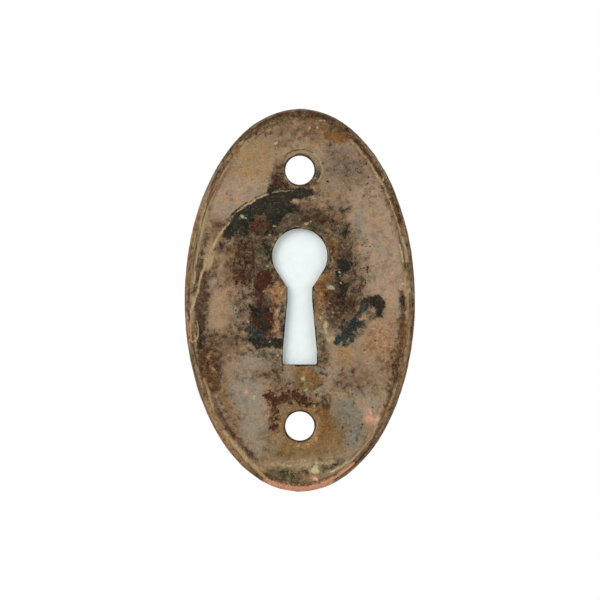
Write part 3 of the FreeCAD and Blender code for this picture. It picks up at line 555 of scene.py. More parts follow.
        run(0.3, 0.6, 0.2, (1.9, -14.2), (2, -14.6)), run(0.25, 0.5, 0.2, (8.8, -12), (8.3, -12.4)),
    ],
    "wear_and_highlight": [
        # The scratch that sweeps from the upper screw hole down the left side.
        run(0.15, 0.8, 0.08, (-1.4, 15.05), (-2.55, 14.95), (-3.1, 14.85), (-3.8, 14.7)),
        run(0.17, 0.95, 0.08, (-4.3, 14.5), (-4.9, 14.3), (-5.5, 14.1), (-6, 13.8)),
        run(0.18, 1.1, 0.08, (-6.1, 13.75), (-6.9, 13.3), (-7.5, 12.9)),
        run(0.17, 0.85, 0.08, (-7.5, 12.85), (-8.1, 12.45), (-8.7, 12)),
        run(0.14, 0.62, 0.08, (-8.7, 12), (-9.2, 11.4), (-9.75, 10.7)),
        run(0.2, 1, 0.1, (-9.75, 10.6), (-10.2, 10.2), (-10.55, 9.7), (-10.95, 9.1)),
        run(0.34, 1.05, 0.12, (-11, 9.1), (-11.4, 8.5), (-11.8, 7.7), (-12.2, 6.8), (-12.6, 6), (-12.9, 5.2),
            (-13.2, 4.3)),
        run(0.3, 1, 0.12, (-13.2, 4.3), (-13.5, 3.5), (-13.8, 2.4), (-14.1, 1.2), (-14.4, 0.2),
            (-14.7, -0.8), (-14.93, -1.6)),
        run(0.22, 0.95, 0.1, (-14.93, -1.6), (-14.95, -3), (-14.97, -4.4), (-14.9, -5.4), (-14.7, -5.8)),
        run(0.2, 0.95, 0.1, (-14.05, -2.9), (-13.95, -3.8), (-13.92, -4.7), (-14.1, -5.3), (-14.5, -5.6)),
        patch(0.7, 0.2, (-12.7, 5.6), (-12.2, 6.7), (-11.8, 7), (-11.6, 6.4), (-11.8, 5.2), (-12.1, 4.2),
            (-12.9, 4.1)),
        # The crest of the rim, lighter: partly rubbed, partly painted highlight along the ridge.
        run(0.44, 1.15, 0.15, (-10.3, -18), (-9.6, -19), (-9, -19.8), (-8.2, -20.8), (-7.3, -21.8),
            (-6.5, -22.5), (-5.9, -23), (-5.2, -23.9), (-4.6, -24.4)),
        run(0.5, 0.75, 0.2, (-13.1, -10.8), (-12.7, -12), (-12.3, -13.4), (-11.9, -14.7)),
        run(0.28, 0.8, 0.12, (10.6, -17.3), (10.1, -18.3), (9.5, -19.2), (8.8, -20), (8, -21), (7.1, -21.8),
            (6, -22.5), (5, -23.2), (4.2, -23.6)),
        run(0.45, 0.62, 0.2, (-12.4, 15), (-12.8, 13.8), (-13.05, 12.6), (-13.4, 11.2), (-13.7, 10)),
        run(0.4, 0.62, 0.2, (-13.5, 9.4), (-13.75, 8.4), (-13.95, 7.4), (-14.1, 6.2), (-14.2, 5)),
        run(0.4, 0.75, 0.15, (-14.4, 3.8), (-14.5, 2.4)),
        run(0.5, 0.8, 0.2, (14.05, 8.6), (14.4, 7), (14.6, 5.4)),
        run(0.5, 0.72, 0.2, (14.5, 3.8), (14.5, 2.4), (14.5, 0.6)),
        # The outer edge, lighter but for its top: partly handled bright, partly painted light on the side
        # wall, which turns away from the lamps.
        run(0.3, 0.56, 0.15, *rim(58, 166, 0.06, 32)), run(0.3, 0.48, 0.15, *rim(194, 300, 0.06, 32)),
        run(0.18, 0.6, 0.1, (15, 5), (15.15, 3.4), (15.25, 1.6), (15.3, -0.6), (15.25, -2.6)),
        # Streaks on the upper right of the rim's outer slope, which faces the light: painted highlight,
        # partly rubbed.
        run(0.4, 0.65, 0.2, (8.5, 22.3), (9.1, 21.5), (9.8, 20.6)),
        run(0.42, 0.75, 0.25, (7, 22), (8.2, 20.6), (9, 19.6), (9.75, 18.5), (10.5, 17), (11.4, 15.9),
            (12.2, 14.1)),
        run(0.35, 0.65, 0.2, (10.2, 19.9), (11, 18.7), (11.6, 17.6), (12.2, 16.3)),
        # Light lines on the crest at the lower right and the upper left: painted highlight, partly rubbed.
        run(0.2, 0.55, 0.15, *rim(101, 124, 1.1)), run(0.22, 0.55, 0.15, *rim(-62, -30, 1.25)),
        # The lips of the screw holes' seats, lighter on the sides that face the light: painted highlight.
        run(0.22, 0.9, 0.12, *ring(UPPER_SEAT, 2.85, 35, 125)),
        run(0.2, 0.7, 0.12, *ring(UPPER_SEAT, 2.55, 300, 380)),
        run(0.25, 0.7, 0.15, *ring(LOWER_SCREW, 2.35, 60, 150)),
    ],
    "copper": [
        # Bare metal at the bottom of the rim.
        run(0.85, 1.15, 0.25, *rim(164, 197, 0.4)), run(0.4, 0.9, 0.15, *rim(150, 168, 0.75)),
        run(0.5, 0.9, 0.2, *rim(-178, -163, 0.55)),
        patch(0.62, 0.35, (9.1, -14.8), (9.7, -15), (9.9, -15.7), (10.8, -16), (11.2, -16.3), (10.6, -16.8),
            (9.6, -16.8), (8.8, -16.7), (8.6, -16.2), (9.1, -15.8)),
        run(0.5, 0.6, 0.2, (-3.3, -4.1), (-3.2, -4.3)), run(0.5, 0.55, 0.2, (-3.2, -3.1)),
        run(0.5, 0.55, 0.2, (-3.8, 1.2), (-3.5, 1)), run(0.4, 0.55, 0.2, (-3, -0.1)),
        run(0.3, 0.9, 0.12, (-2.95, -7.6)), run(0.35, 0.5, 0.2, (8, -2.6), (8.7, -2.4)),
        run(0.5, 0.42, 0.3, (9.4, -1.9), (10.1, -1.5)),
        patch(0.28, 0.9, (9, -2.6), (12.8, -2), (13.4, -6.8), (11.4, -9.4), (8.6, -5.6)),
        run(0.3, 0.85, 0.15, (12.7, 3.8)), run(0.6, 0.85, 0.2, (-7.45, -12.8), (-7.35, -12.5)),
        run(0.5, 0.75, 0.2, (1.9, -24.4), (2.4, -24.6)), run(0.5, 0.5, 0.3, (9.2, -9.3)),
        run(0.3, 0.7, 0.15, (1.3, 23.6)), run(0.3, 0.6, 0.15, (-6.9, 4.9)),
        run(0.3, 0.9, 0.12, (-4.85, 1.1)), run(0.3, 0.7, 0.2, (-9.9, -7.5)),
        run(0.3, 0.6, 0.15, *rim(-94, -106, 0.35)), run(0.3, 0.4, 0.3, (11.2, -4.4), (13, -5.5)),
        run(0.5, 0.35, 0.4, (8.2, -6), (9.6, -8)), run(0.5, 0.4, 0.3, (-1.2, 24.6), (0.4, 24.9)),
    ],
    "lip": [
        # A dark line along the outline from the upper left round the right. Dark rings on the screw holes'
        # edges: painted shade on the holes' walls.
        run(0.3, 0.62, 0.15, *rim(-48, 146, 0.1, 48)), run(0.5, 0.9, 0.15, *ring(UPPER_SCREW, SCREW_RADIUS)),
        run(0.5, 0.9, 0.15, *ring(LOWER_SCREW, SCREW_RADIUS)),
        # Dark arcs at the top of the upper seat and the upper hole, whose walls face down, away from the
        # light: painted shade.
        run(0.17, 0.9, 0.1, *ring(UPPER_SEAT, 2.85, 310, 395)),
        run(0.3, 1.1, 0.12, *ring(UPPER_SCREW, 2.1, 300, 400)),
    ],
}


# One stain's finish: its dark, middle and light tones, the lumps of its ragged
# edge in millimetres, how far that raggedness reaches, the softness of its edge,
# the most it covers, how much softer it lies than it was drawn, and its height.
Finish = namedtuple("Finish", "dark middle light lump reach edge strength feather lift")

FINISH = {
    "golden": Finish("#83663e", "#98794e", "#a78c5f", 1.6, 1.4, 0.45, 0.90, 1.0, 0.0),
    "pink": Finish("#8c7461", "#a88f78", "#b99b84", 1.6, 1.4, 0.45, 0.85, 1.0, 0.0),
    "warm": Finish("#83674e", "#9d8062", "#b09173", 1.4, 1.4, 0.45, 0.85, 1.0, 0.0),
    "grey": Finish("#756d60", "#897f6f", "#999084", 1.3, 1.8, 0.40, 0.90, 1.0, 0.0),
    "mauve": Finish("#5b4e45", "#706256", "#84776c", 1.3, 1.8, 0.40, 0.90, 1.0, 0.0),
    "teal_wash": Finish("#56594e", "#6d6f63", "#8a8a7c", 1.2, 2.2, 0.45, 0.90, 1.0, 0.0),
    "olive_gold": Finish("#584223", "#765931", "#927447", 0.8, 2.4, 0.45, 0.88, 1.3, 0.0),
    "shade": Finish("#4c3724", "#6b5138", "#8c6f53", 0.9, 3.2, 0.45, 0.86, 1.2, 0.0),
    "haze": Finish("#1d1710", "#3c3123", "#6d5c46", 0.7, 4.0, 0.40, 0.84, 1.0, 0.2),
    # Umber's tones also darken the rim's outer band, partly as painted shade.
    "umber": Finish("#26150a", "#402713", "#624225", 0.8, 3.0, 0.36, 0.86, 1.7, 0.3),
    "rust": Finish("#5c3413", "#7c4f22", "#9b6b37", 0.5, 3.8, 0.34, 0.88, 1.8, 0.3),
    "amber": Finish("#7a5431", "#a57d52", "#c8a67c", 0.45, 4.0, 0.25, 0.85, 1.4, 0.1),
    "maroon": Finish("#170903", "#39180b", "#552c1b", 0.55, 4.2, 0.28, 0.95, 2.6, 0.25),
    "moss": Finish("#26281b", "#48462e", "#75724e", 0.6, 3.0, 0.32, 0.86, 2.0, 0.4),
    "soot": Finish("#050603", "#17180f", "#403a27", 0.8, 2.8, 0.26, 0.97, 2.2, 0.5),
    "teal": Finish("#0c1110", "#1f2826", "#424840", 0.6, 2.6, 0.26, 0.97, 2.0, 0.35),
    "verdigris": Finish("#808968", "#a3a884", "#c0c3a0", 0.4, 2.0, 0.25, 0.88, 1.2, 0.6),
    # Pale's tones also lay light lines on the rim's crest, partly as painted highlight.
    "pale": Finish("#a3936c", "#c6b68a", "#dccfa4", 0.5, 2.0, 0.28, 0.88, 1.3, 0.5),
    # The rubbed stain's tones also paint highlights on the rim and the screw seats, and light on the plate's
    # side wall.
    "wear_and_highlight": Finish("#85704f", "#a48c68", "#bda883", 0.7, 1.3, 0.24, 0.85, 1.2, -0.6),
    "copper": Finish("#b07154", "#dd9f7e", "#eebf9f", 0.45, 2.8, 0.34, 0.88, 1.4, -0.5),
    # The dark lines' tones also paint shade on the screw holes' walls.
    "lip": Finish("#20160e", "#35271b", "#53412e", 0.5, 1.4, 0.25, 0.85, 1.0, 0.0),
}
FIRST_CRUST = "olive_gold"      # the stains before it are thin washes


def linear(code):
    """Turn an sRGB hex colour into linear light."""
    parts = [int(code[start:start + 2], 16) / 255 for start in (1, 3, 5)]
    return [c / 12.92 if c <= 0.04045 else ((c + 0.055) / 1.055) ** 2.4 for c in parts] + [1.0]


FRONT_GRAIN = 0.46      # longest edge of the front's mesh, in millimetres
FINE_GRAIN = 0.20       # the same beside a thin mark
FINE_REACH = 0.18       # how far from its middle a thin mark needs the fine mesh
THIN_MARK = 0.2         # half the width, up to which a mark counts as thin
BACK_GRAIN = 2.2        # longest edge on the back
BACK_LEAN = 0.2         # a face whose normal points further along +Y belongs to the back
COPLANAR = 0.005        # radians between two faces that count as flat
SAME_PLACE = 1e-7       # corners nearer than this, in metres, are one
HALVINGS = 9            # times that the longest edges are split
TINY = 1e-9             # keeps a division away from zero


def refine(mesh):
    """Split every long edge until the mesh can carry small dents and stains."""
    thin = [line for marks in STAINS.values() for line, half, _, _, filled in marks
            if half <= THIN_MARK and not filled]
    bm = bmesh.new()
    bm.from_mesh(mesh)
    bmesh.ops.remove_doubles(bm, verts=bm.verts, dist=SAME_PLACE)
    for _ in range(HALVINGS):
        middles = np.array([(e.verts[0].co + e.verts[1].co).xz[:] for e in bm.edges]) / 2 / MM
        nearest = np.full(len(middles), np.inf)
        for line in thin:
            held = around(middles, line, FINE_REACH)
            nearest[held] = np.minimum(nearest[held], nearest_on(middles[held], line))
        long_edges = []
        for edge, gap in zip(bm.edges, nearest):
            if any(face.normal.y > BACK_LEAN for face in edge.link_faces):
                limit = BACK_GRAIN
            else:
                limit = FINE_GRAIN if gap < FINE_REACH else FRONT_GRAIN
            if edge.calc_length() > limit * MM:
                long_edges.append(edge)
        if not long_edges:
            break
        bmesh.ops.subdivide_edges(bm, edges=long_edges, cuts=1)
        wide = [face for face in bm.faces if len(face.verts) > 3]
        bmesh.ops.triangulate(bm, faces=wide)
        flat = [e for e in bm.edges if e.is_manifold and e.calc_face_angle() < COPLANAR]
        bmesh.ops.beautify_fill(bm, faces=bm.faces[:], edges=flat)
    for face in bm.faces:
        face.smooth = True
    bm.normal_update()
    bm.to_mesh(mesh)
    bm.free()
    mesh.update()


def around(points, line, margin):
    """Say which points lie in the box round a line, with this margin."""
    corners = np.array(line)
    return ((points > corners.min(0) - margin) & (points < corners.max(0) + margin)).all(1)


def nearest_on(points, line):
    """Distance from each point to a broken line."""
    nearest = np.full(len(points), np.inf)
    corners = [np.array(corner) for corner in line]
    ends = corners[1:] if len(corners) > 1 else corners
    for start, end in zip(corners, ends):
        along = end - start
        share = np.clip(((points - start) @ along) / max(along @ along, TINY), 0, 1)
        gap = points - start - share[:, None] * along
        nearest = np.minimum(nearest, np.hypot(gap[:, 0], gap[:, 1]))
    return nearest


def inside(points, outline):
    """Say which points lie inside a closed outline."""
    held = np.zeros(len(points), bool)
    for (x1, z1), (x2, z2) in zip(outline, outline[1:]):
        if z1 == z2:
            continue
        crosses = (points[:, 1] < z1) != (points[:, 1] < z2)
        held ^= crosses & (points[:, 0] < x1 + (points[:, 1] - z1) * (x2 - x1) / (z2 - z1))
    return held


def stain_level(points, marks, feather):
    """How strongly a stain covers each point: 0.5 is its edge."""
    level = np.zeros(len(points))
    for line, half_width, cover, soft, filled in marks:
        if filled or half_width > THIN_MARK:
            soft = soft * feather
        held = around(points, line, half_width + soft)
        spots = points[held]
        depth = half_width - nearest_on(spots, line)
        if filled:
            depth = np.where(inside(spots, line), -depth, depth)
        level[held] = np.maximum(level[held], cover * np.clip(0.5 + depth / (2 * soft), 0, 1))
    return level


def store(mesh, name, values):
    """Keep one number for each vertex, for the material to read."""
    mesh.attributes.new(name, "FLOAT", "POINT").data.foreach_set("value", values.astype(np.float32))


SEED_STEP = (1.0, 2.7, -1.3)    # how far one seed's waves lie from the next seed's


def ripple(points, size, seed):
    """Gentle waves of this size in millimetres, about zero, for each point."""
    shift = Vector([step * seed for step in SEED_STEP])
    return np.array([noise.noise(Vector(p) / size + shift) for p in points])


def waves(points, rows):
    """Waves laid over each other, from rows of height, size and seed."""
    return sum(height * ripple(points, size, seed) for height, size, seed in rows)


FRONT_FADE = 4.0        # how fast the front's looks fade as the surface turns to the back
WANDER = 0.16           # how far a stain strays from the line it was drawn with
WANDER_SIZE = 1.1       # over this many millimetres
WANDER_SEEDS = (3.0, 8.0)
RIM_STRETCH = 0.06      # streaks in the rim's wear run this much slower along it than across

# Wear and dents, in millimetres: waves of height, size and seed.
DENTS = [(0.014, 5.0, 1.0), (0.010, 1.6, 2.0), (0.006, 0.6, 4.0)]
BACK_WAVES = [(0.02, 4.0, 5.0), (0.01, 1.2, 9.0)]
BACK_START = -0.3       # the hollow back lies in front of this, and the rim that meets the door behind
RIM_NICKS = [(0.03, 1.0, 7.0)]
RIM_HOLLOWS = (0.07, 3.2, 6.0)
RIM_SWELL = -0.3        # the most that a hollow's wave may turn into a swelling
RIM_WEAR = 0.02         # even wear of the rim
RIM_REACH = 1.6         # how far in from the edge the rim is worn
# How far each stain stands up or lies sunk.
RELIEF = {"soot": 0.010, "teal": 0.010, "umber": 0.006, "pale": 0.010, "verdigris": 0.008,
          "wear_and_highlight": -0.014, "copper": -0.010}
STEP_START = 0.4        # the level of a stain at which that step starts
STEP_LENGTH = 0.2
SHARP_ANGLE = 50        # degrees


def dress_plate():
    """Copy the plate's solid, refine and wear it, and mark where each stain lies."""
    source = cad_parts["escutcheon_plate"]
    mesh = source.data.copy()
    mesh.name = "stamped_plate"
    mesh.materials.clear()
    refine(mesh)
    plate = bpy.data.objects.new("stamped_plate", mesh)
    bpy.context.scene.collection.objects.link(plate)

    count = len(mesh.vertices)
    spots = np.zeros(count * 3)
    mesh.vertices.foreach_get("co", spots)
    spots = spots.reshape(-1, 3) / MM
    normals = np.zeros(count * 3, np.float32)
    mesh.vertices.foreach_get("normal", normals)
    normals = normals.reshape(-1, 3).astype(float)
    flat = spots[:, [0, 2]]
    front = np.clip(1 - FRONT_FADE * np.maximum(normals[:, 1], 0), 0, 1)

    # How far in from the oval outline each point lies.
    axes = np.array([HALF_WIDTH, HALF_HEIGHT])
    share = np.hypot(*(flat / axes).T)
    slope = np.hypot(*(flat / axes ** 2).T) / np.maximum(share, TINY)
    inset = (1 - share) / np.maximum(slope, TINY)
    outward = flat / axes ** 2
    outward /= np.maximum(np.hypot(*outward.T), TINY)[:, None]
    on_rim = flat + outward * inset[:, None]

    # Stains wander a little from the lines they were drawn with.
    wander = np.stack([ripple(spots, WANDER_SIZE, seed) for seed in WANDER_SEEDS], axis=1) * WANDER
    levels = {}
    for name, marks in STAINS.items():
        levels[name] = stain_level(flat + wander, marks, FINISH[name].feather) * front
        store(mesh, name, levels[name])
    store(mesh, "inset", np.maximum(inset, 0))
    flow = mesh.attributes.new("rim_flow", "FLOAT_VECTOR", "POINT")
    run_length = np.stack([on_rim[:, 0] * RIM_STRETCH, inset, on_rim[:, 1] * RIM_STRETCH], axis=1)
    flow.data.foreach_set("vector", run_length.astype(np.float32).ravel())

    # Wear and dents, along the surface's own direction.
    rise = waves(spots, DENTS)
    for name, height in RELIEF.items():
        rise += height * np.clip((levels[name] - STEP_START) / STEP_LENGTH, 0, 1)
    rise *= front
    height, size, seed = RIM_HOLLOWS
    hollows = height * np.maximum(ripple(spots, size, seed), RIM_SWELL)
    rim_wear = np.clip(1 - inset / RIM_REACH, 0, 1) * front
    rise -= rim_wear * (RIM_WEAR + hollows + waves(spots, RIM_NICKS))
    # The back keeps the waves of the press and is never pushed out through the door's face.
    rise -= (1 - front) * np.abs(waves(spots, BACK_WAVES)) * (spots[:, 1] < BACK_START)
    moved = spots + normals * rise[:, None]
    moved = np.clip(moved, np.array(cad_low) / MM, np.array(cad_high) / MM)
    mesh.vertices.foreach_set("co", (moved * MM).ravel())
    mesh.update()
    mesh.set_sharp_from_angle(angle=math.radians(SHARP_ANGLE))
    return plate


# Sockets of a Mix node that mixes colours: its share, its two colours and its result.
SHARE, UNDER, OVER, MIXED = 0, 6, 7, 2


def add(tree, kind, inputs=None, **settings):
    """Add a node with its settings, its input values and its links."""
    made = tree.nodes.new(kind)
    for name, value in settings.items():
        setattr(made, name, value)
    for key, value in (inputs or {}).items():
        if isinstance(value, bpy.types.NodeSocket):
            tree.links.new(value, made.inputs[key])
        else:
            made.inputs[key].default_value = value
    return made


def bare_material(name):
    """A new material with an empty node tree."""
    material = bpy.data.materials.new(name)
    material.use_nodes = True
    material.node_tree.nodes.clear()
    return material, material.node_tree


def coat(tree, under, pattern, low, high, most, code):
    """Lay a colour over another where a pattern rises from low to high."""
    cover = add(tree, "ShaderNodeMapRange", {
        "Value": pattern, "From Min": low, "From Max": high, "To Max": most},
        interpolation_type="SMOOTHSTEP").outputs["Result"]
    return add(tree, "ShaderNodeMix", {SHARE: cover, UNDER: under, OVER: linear(code)},
               data_type="RGBA").outputs[MIXED]


def coats(tree, colour, grains, rows):
    """Lay colours one over the other: grain, where it starts and is full, cover, colour."""
    for grain, low, high, most, code in rows:
        colour = coat(tree, colour, grains[grain], low, high, most, code)
    return colour


def old_brass(tree, colour, metal, rough, height, bump, gloss):
    """Close a material: uneven metal, shaded by its fine relief, with a dull gloss."""
    relief = add(tree, "ShaderNodeBump", {
        "Strength": bump, "Distance": FINE_RELIEF * MM, "Height": height}).outputs["Normal"]
    surface = add(tree, "ShaderNodeBsdfPrincipled", {
        "Base Color": colour, "Metallic": metal, "Roughness": rough, "Specular IOR Level": gloss,
        "Normal": relief})
    add(tree, "ShaderNodeOutputMaterial", {"Surface": surface.outputs[0]})


FINE_RELIEF = 0.05      # height of the relief that only the shading shows, in millimetres

# The grains of the old skin: lump size in millimetres, octaves, roughness.
GRAINS = {
    "clouds": (4.2, 6.0, 0.66),
    "drift": (1.7, 6.0, 0.70),
    "tint": (0.8, 4.0, 0.72),
    "blotches": (0.9, 5.0, 0.74),
    "mottle": (0.46, 4.0, 0.75),
    "flecks": (0.27, 3.0, 0.70),
    "dust": (0.17, 2.0, 0.60),
}
# Metres between one grain and the next, and between one stain's ragged edge and the next's.
GRAIN_STEP = (0.031, 0.017, -0.023)
STAIN_STEP = (0.013, -0.007, 0.019)
# Coats of the bare skin: grain, where it starts and is full, cover, colour.
SKIN = "#846f57"
SKIN_COATS = [("clouds", 0.42, 0.60, 1.0, "#9d8468")]
MOTTLING = [
    ("tint", 0.50, 0.62, 0.32, "#a98055"),
    ("tint", 0.50, 0.38, 0.32, "#85826f"),
    ("drift", 0.50, 0.64, 0.45, "#7d7160"),
    ("blotches", 0.53, 0.68, 0.45, "#b48b73"),
    ("blotches", 0.46, 0.34, 0.40, "#7a6a50"),
    ("mottle", 0.47, 0.34, 0.35, "#6f6450"),
    ("flecks", 0.55, 0.72, 0.40, "#c2a88b"),
    ("mottle", 0.57, 0.70, 0.40, "#5a4430"),
]
# Grain finer than the stains, so that no spot is one flat colour.
TOP_GRAIN = [
    ("flecks", 0.58, 0.72, 0.34, "#ab9373"),
    ("flecks", 0.48, 0.30, 0.22, "#33251a"),
    ("dust", 0.50, 0.30, 0.16, "#2b1e14"),
]
# Streaks in the rim's wear: lump across it, where they start and are full, cover, colour.
RIM_STREAKS = [
    (0.80, 0.40, 0.56, 0.80, "#5c452c"),
    (0.34, 0.50, 0.62, 0.85, "#33241a"),
    (0.40, 0.50, 0.38, 0.70, "#97845f"),
    (0.24, 0.54, 0.66, 0.65, "#824f2c"),
    (0.18, 0.46, 0.34, 0.45, "#b29a76"),
]
STREAKS_FADE = (1.9, 1.3)       # how far in from the edge they start and are full
# Inside a stain: where its grain starts and is full, and how much it then covers.
DARK_LUMPS = (0.50, 0.62, 1.0)
LIGHT_GRAIN = (0.53, 0.66, 0.85)
NEARNESS = 3.0                  # a stain is at its most ragged from a third of its strength
OXIDE_METAL = 0.1
OXIDE_ROUGHNESS = 0.62
# The stains that show the alloy; the rubbed one also holds painted highlights on the rim and the screw
# seats.
RUBBED_AND_HIGHLIT = ("wear_and_highlight", "copper")     # the stains that show the alloy
RUBBED_METAL = 0.5
RUBBED_SMOOTHING = -0.15


def patina():
    """Old brass, stamped and lacquered, its lacquer gone and its skin oxidised.

    The oxide is dull and hardly metallic, brown to black, and the rubbed spots show the alloy, pinker where
    its zinc has leached out. Some light marks on the rim and the screw seats are painted highlight, and some
    dark ones on the rim's outer band and round the screw holes painted shade.
    """
    material, tree = bare_material("aged_brass_patina")
    where = add(tree, "ShaderNodeTexCoord").outputs["Object"]
    grains = {}
    for number, (name, (size, octaves, roughness)) in enumerate(GRAINS.items()):
        place = add(tree, "ShaderNodeMapping", {
            "Vector": where, "Location": [step * number for step in GRAIN_STEP]}).outputs[0]
        grains[name] = add(tree, "ShaderNodeTexNoise", {
            "Vector": place, "Scale": 1 / (size * MM), "Detail": octaves,
            "Roughness": roughness}).outputs["Fac"]

    colour = coats(tree, linear(SKIN), grains, SKIN_COATS)
    metal, rough, height = OXIDE_METAL, OXIDE_ROUGHNESS, grains["mottle"]
    for number, (name, finish) in enumerate(FINISH.items()):
        if name == FIRST_CRUST:
            # The grain of the skin lies over the washes and under the crusts.
            colour = rim_streaks(tree, coats(tree, colour, grains, MOTTLING))
        place = add(tree, "ShaderNodeMapping", {
            "Vector": where, "Location": [step * number for step in STAIN_STEP]}).outputs[0]
        rag = add(tree, "ShaderNodeTexNoise", {
            "Vector": place, "Scale": 1 / (finish.lump * MM), "Detail": 6.0,
            "Roughness": 0.76}).outputs["Fac"]
        level = add(tree, "ShaderNodeAttribute", attribute_name=name).outputs["Fac"]
        # The grain breaks up a stain's edge but throws no specks where there is no stain.
        near = add(tree, "ShaderNodeMath", {0: level, 1: NEARNESS}, operation="MULTIPLY",
                   use_clamp=True).outputs[0]
        swing = add(tree, "ShaderNodeMath", {
            0: rag, 1: finish.reach, 2: -finish.reach / 2}, operation="MULTIPLY_ADD").outputs[0]
        ragged = add(tree, "ShaderNodeMath", {0: swing, 1: near, 2: level},
                     operation="MULTIPLY_ADD").outputs[0]
        cover = add(tree, "ShaderNodeMapRange", {
            "Value": ragged, "From Min": 0.5 - finish.edge, "From Max": 0.5 + finish.edge,
            "To Max": finish.strength}, interpolation_type="SMOOTHSTEP").outputs["Result"]
        tone = coat(tree, linear(finish.middle), rag, *DARK_LUMPS, finish.dark)
        tone = coat(tree, tone, grains["mottle"], *LIGHT_GRAIN, finish.light)
        colour = add(tree, "ShaderNodeMix", {SHARE: cover, UNDER: colour, OVER: tone},
                     data_type="RGBA").outputs[MIXED]
        if finish.lift:
            height = add(tree, "ShaderNodeMath", {0: cover, 1: finish.lift, 2: height},
                         operation="MULTIPLY_ADD").outputs[0]
        if name in RUBBED_AND_HIGHLIT:
            shine = add(tree, "ShaderNodeMath", {0: cover, 1: RUBBED_METAL},
                        operation="MULTIPLY").outputs[0]
            metal = add(tree, "ShaderNodeMath", {0: metal, 1: shine}, operation="MAXIMUM").outputs[0]
            rough = add(tree, "ShaderNodeMath", {0: cover, 1: RUBBED_SMOOTHING, 2: rough},
                        operation="MULTIPLY_ADD").outputs[0]

    colour = coats(tree, colour, grains, TOP_GRAIN)
    old_brass(tree, colour, metal, rough, height, bump=0.6, gloss=0.12)
    return material


def rim_streaks(tree, colour):
    """Lay the long streaks that hands and polish left along the rim."""
    inset = add(tree, "ShaderNodeAttribute", attribute_name="inset").outputs["Fac"]
    flow = add(tree, "ShaderNodeAttribute", attribute_name="rim_flow").outputs["Vector"]
    start, full = STREAKS_FADE
    on_rim = add(tree, "ShaderNodeMapRange", {
        "Value": inset, "From Min": start, "From Max": full}).outputs["Result"]
    for size, low, high, most, code in RIM_STREAKS:
        streaks = add(tree, "ShaderNodeTexNoise", {
            "Vector": flow, "Scale": 1 / size, "Detail": 3.0, "Roughness": 0.6}).outputs["Fac"]
        striped = coat(tree, colour, streaks, low, high, most, code)
        colour = add(tree, "ShaderNodeMix", {SHARE: on_rim, UNDER: colour, OVER: striped},
                     data_type="RGBA").outputs[MIXED]
    return colour


# The grains of the back: lump size in millimetres and octaves.
BACK_GRAINS = {"clouds": (4.0, 4.0), "blotches": (1.3, 4.0), "mottle": (0.4, 3.0), "die_marks": (0.18, 2.0)}
DIE_STRETCH = (1.0, 1.0, 0.06)  # die marks run long up the sheet
BACK_SKIN = "#7d6240"
BACK_COATS = [
    ("clouds", 0.36, 0.64, 1.0, "#9a7c50"),
    ("blotches", 0.50, 0.66, 0.8, "#553e29"),
    ("mottle", 0.58, 0.75, 0.6, "#3f2c1d"),
    ("crust", 0.06, 0.18, 0.8, "#6f8369"),
    ("die_marks", 0.45, 0.70, 0.3, "#b6975f"),
]


def raw_back():
    """Sheet brass as it left the press: never polished, dull brown with age.

    Fine die marks run up the sheet, and green corrosion sits in patches.
    """
    material, tree = bare_material("unpolished_brass_back")
    where = add(tree, "ShaderNodeTexCoord").outputs["Object"]
    along = add(tree, "ShaderNodeMapping", {"Vector": where, "Scale": DIE_STRETCH}).outputs[0]
    grains = {}
    for name, (size, octaves) in BACK_GRAINS.items():
        grains[name] = add(tree, "ShaderNodeTexNoise", {
            "Vector": along if name == "die_marks" else where, "Scale": 1 / (size * MM),
            "Detail": octaves, "Roughness": 0.62}).outputs["Fac"]
    grains["crust"] = add(tree, "ShaderNodeMath", {0: grains["clouds"], 1: grains["blotches"]},
                          operation="SUBTRACT").outputs[0]
    colour = coats(tree, linear(BACK_SKIN), grains, BACK_COATS)
    metal = add(tree, "ShaderNodeMapRange", {
        "Value": grains["blotches"], "From Min": 0.46, "From Max": 0.62, "To Min": 0.6,
        "To Max": 0.15}).outputs["Result"]
    rough = add(tree, "ShaderNodeMapRange", {
        "Value": grains["mottle"], "From Min": 0.35, "From Max": 0.65, "To Min": 0.42,
        "To Max": 0.62}).outputs["Result"]
    height = add(tree, "ShaderNodeMath", {0: grains["die_marks"], 1: 0.5, 2: grains["mottle"]},
                 operation="MULTIPLY_ADD").outputs[0]
    old_brass(tree, colour, metal, rough, height, bump=0.5, gloss=0.3)
    return material


BACK_PAINT = 0.3        # a face whose normal points further along +Y is painted as back


def paint_plate(plate):
    """Give the front and the edges the patina, and the hollow back the raw brass."""
    mesh = plate.data
    mesh.materials.append(patina())
    mesh.materials.append(raw_back())
    for face in mesh.polygons:
        face.material_index = 1 if face.normal.y > BACK_PAINT else 0


FLOOR_DROP = 80.0       # floor below the middle of the plate, in millimetres
FLOOR_RADIUS = 240.0
FLOOR_SIDES = 96
FLOOR_GLOW = 0.7        # how much of the floor the camera sees as plain white
CARD_PLACE = -0.50      # paper behind the keyhole, against the hollow of the plate
CARD_HALF_WIDTH = 5.4
CARD_HALF_HEIGHT = 11.0
CARD_LIFT = 0.4
PAPER_TOOTH = (0.3, 0.7, 1.0)   # where the paper's tooth starts and is full, and its cover


def matt_paper(tree, tooth, shade, light):
    """Matt paper: the lump of its tooth in millimetres, and its two tones."""
    where = add(tree, "ShaderNodeTexCoord").outputs["Object"]
    grain = add(tree, "ShaderNodeTexNoise", {"Vector": where, "Scale": 1 / (tooth * MM)}).outputs["Fac"]
    colour = coat(tree, linear(shade), grain, *PAPER_TOOTH, light)
    return add(tree, "ShaderNodeBsdfDiffuse", {"Color": colour}).outputs[0]


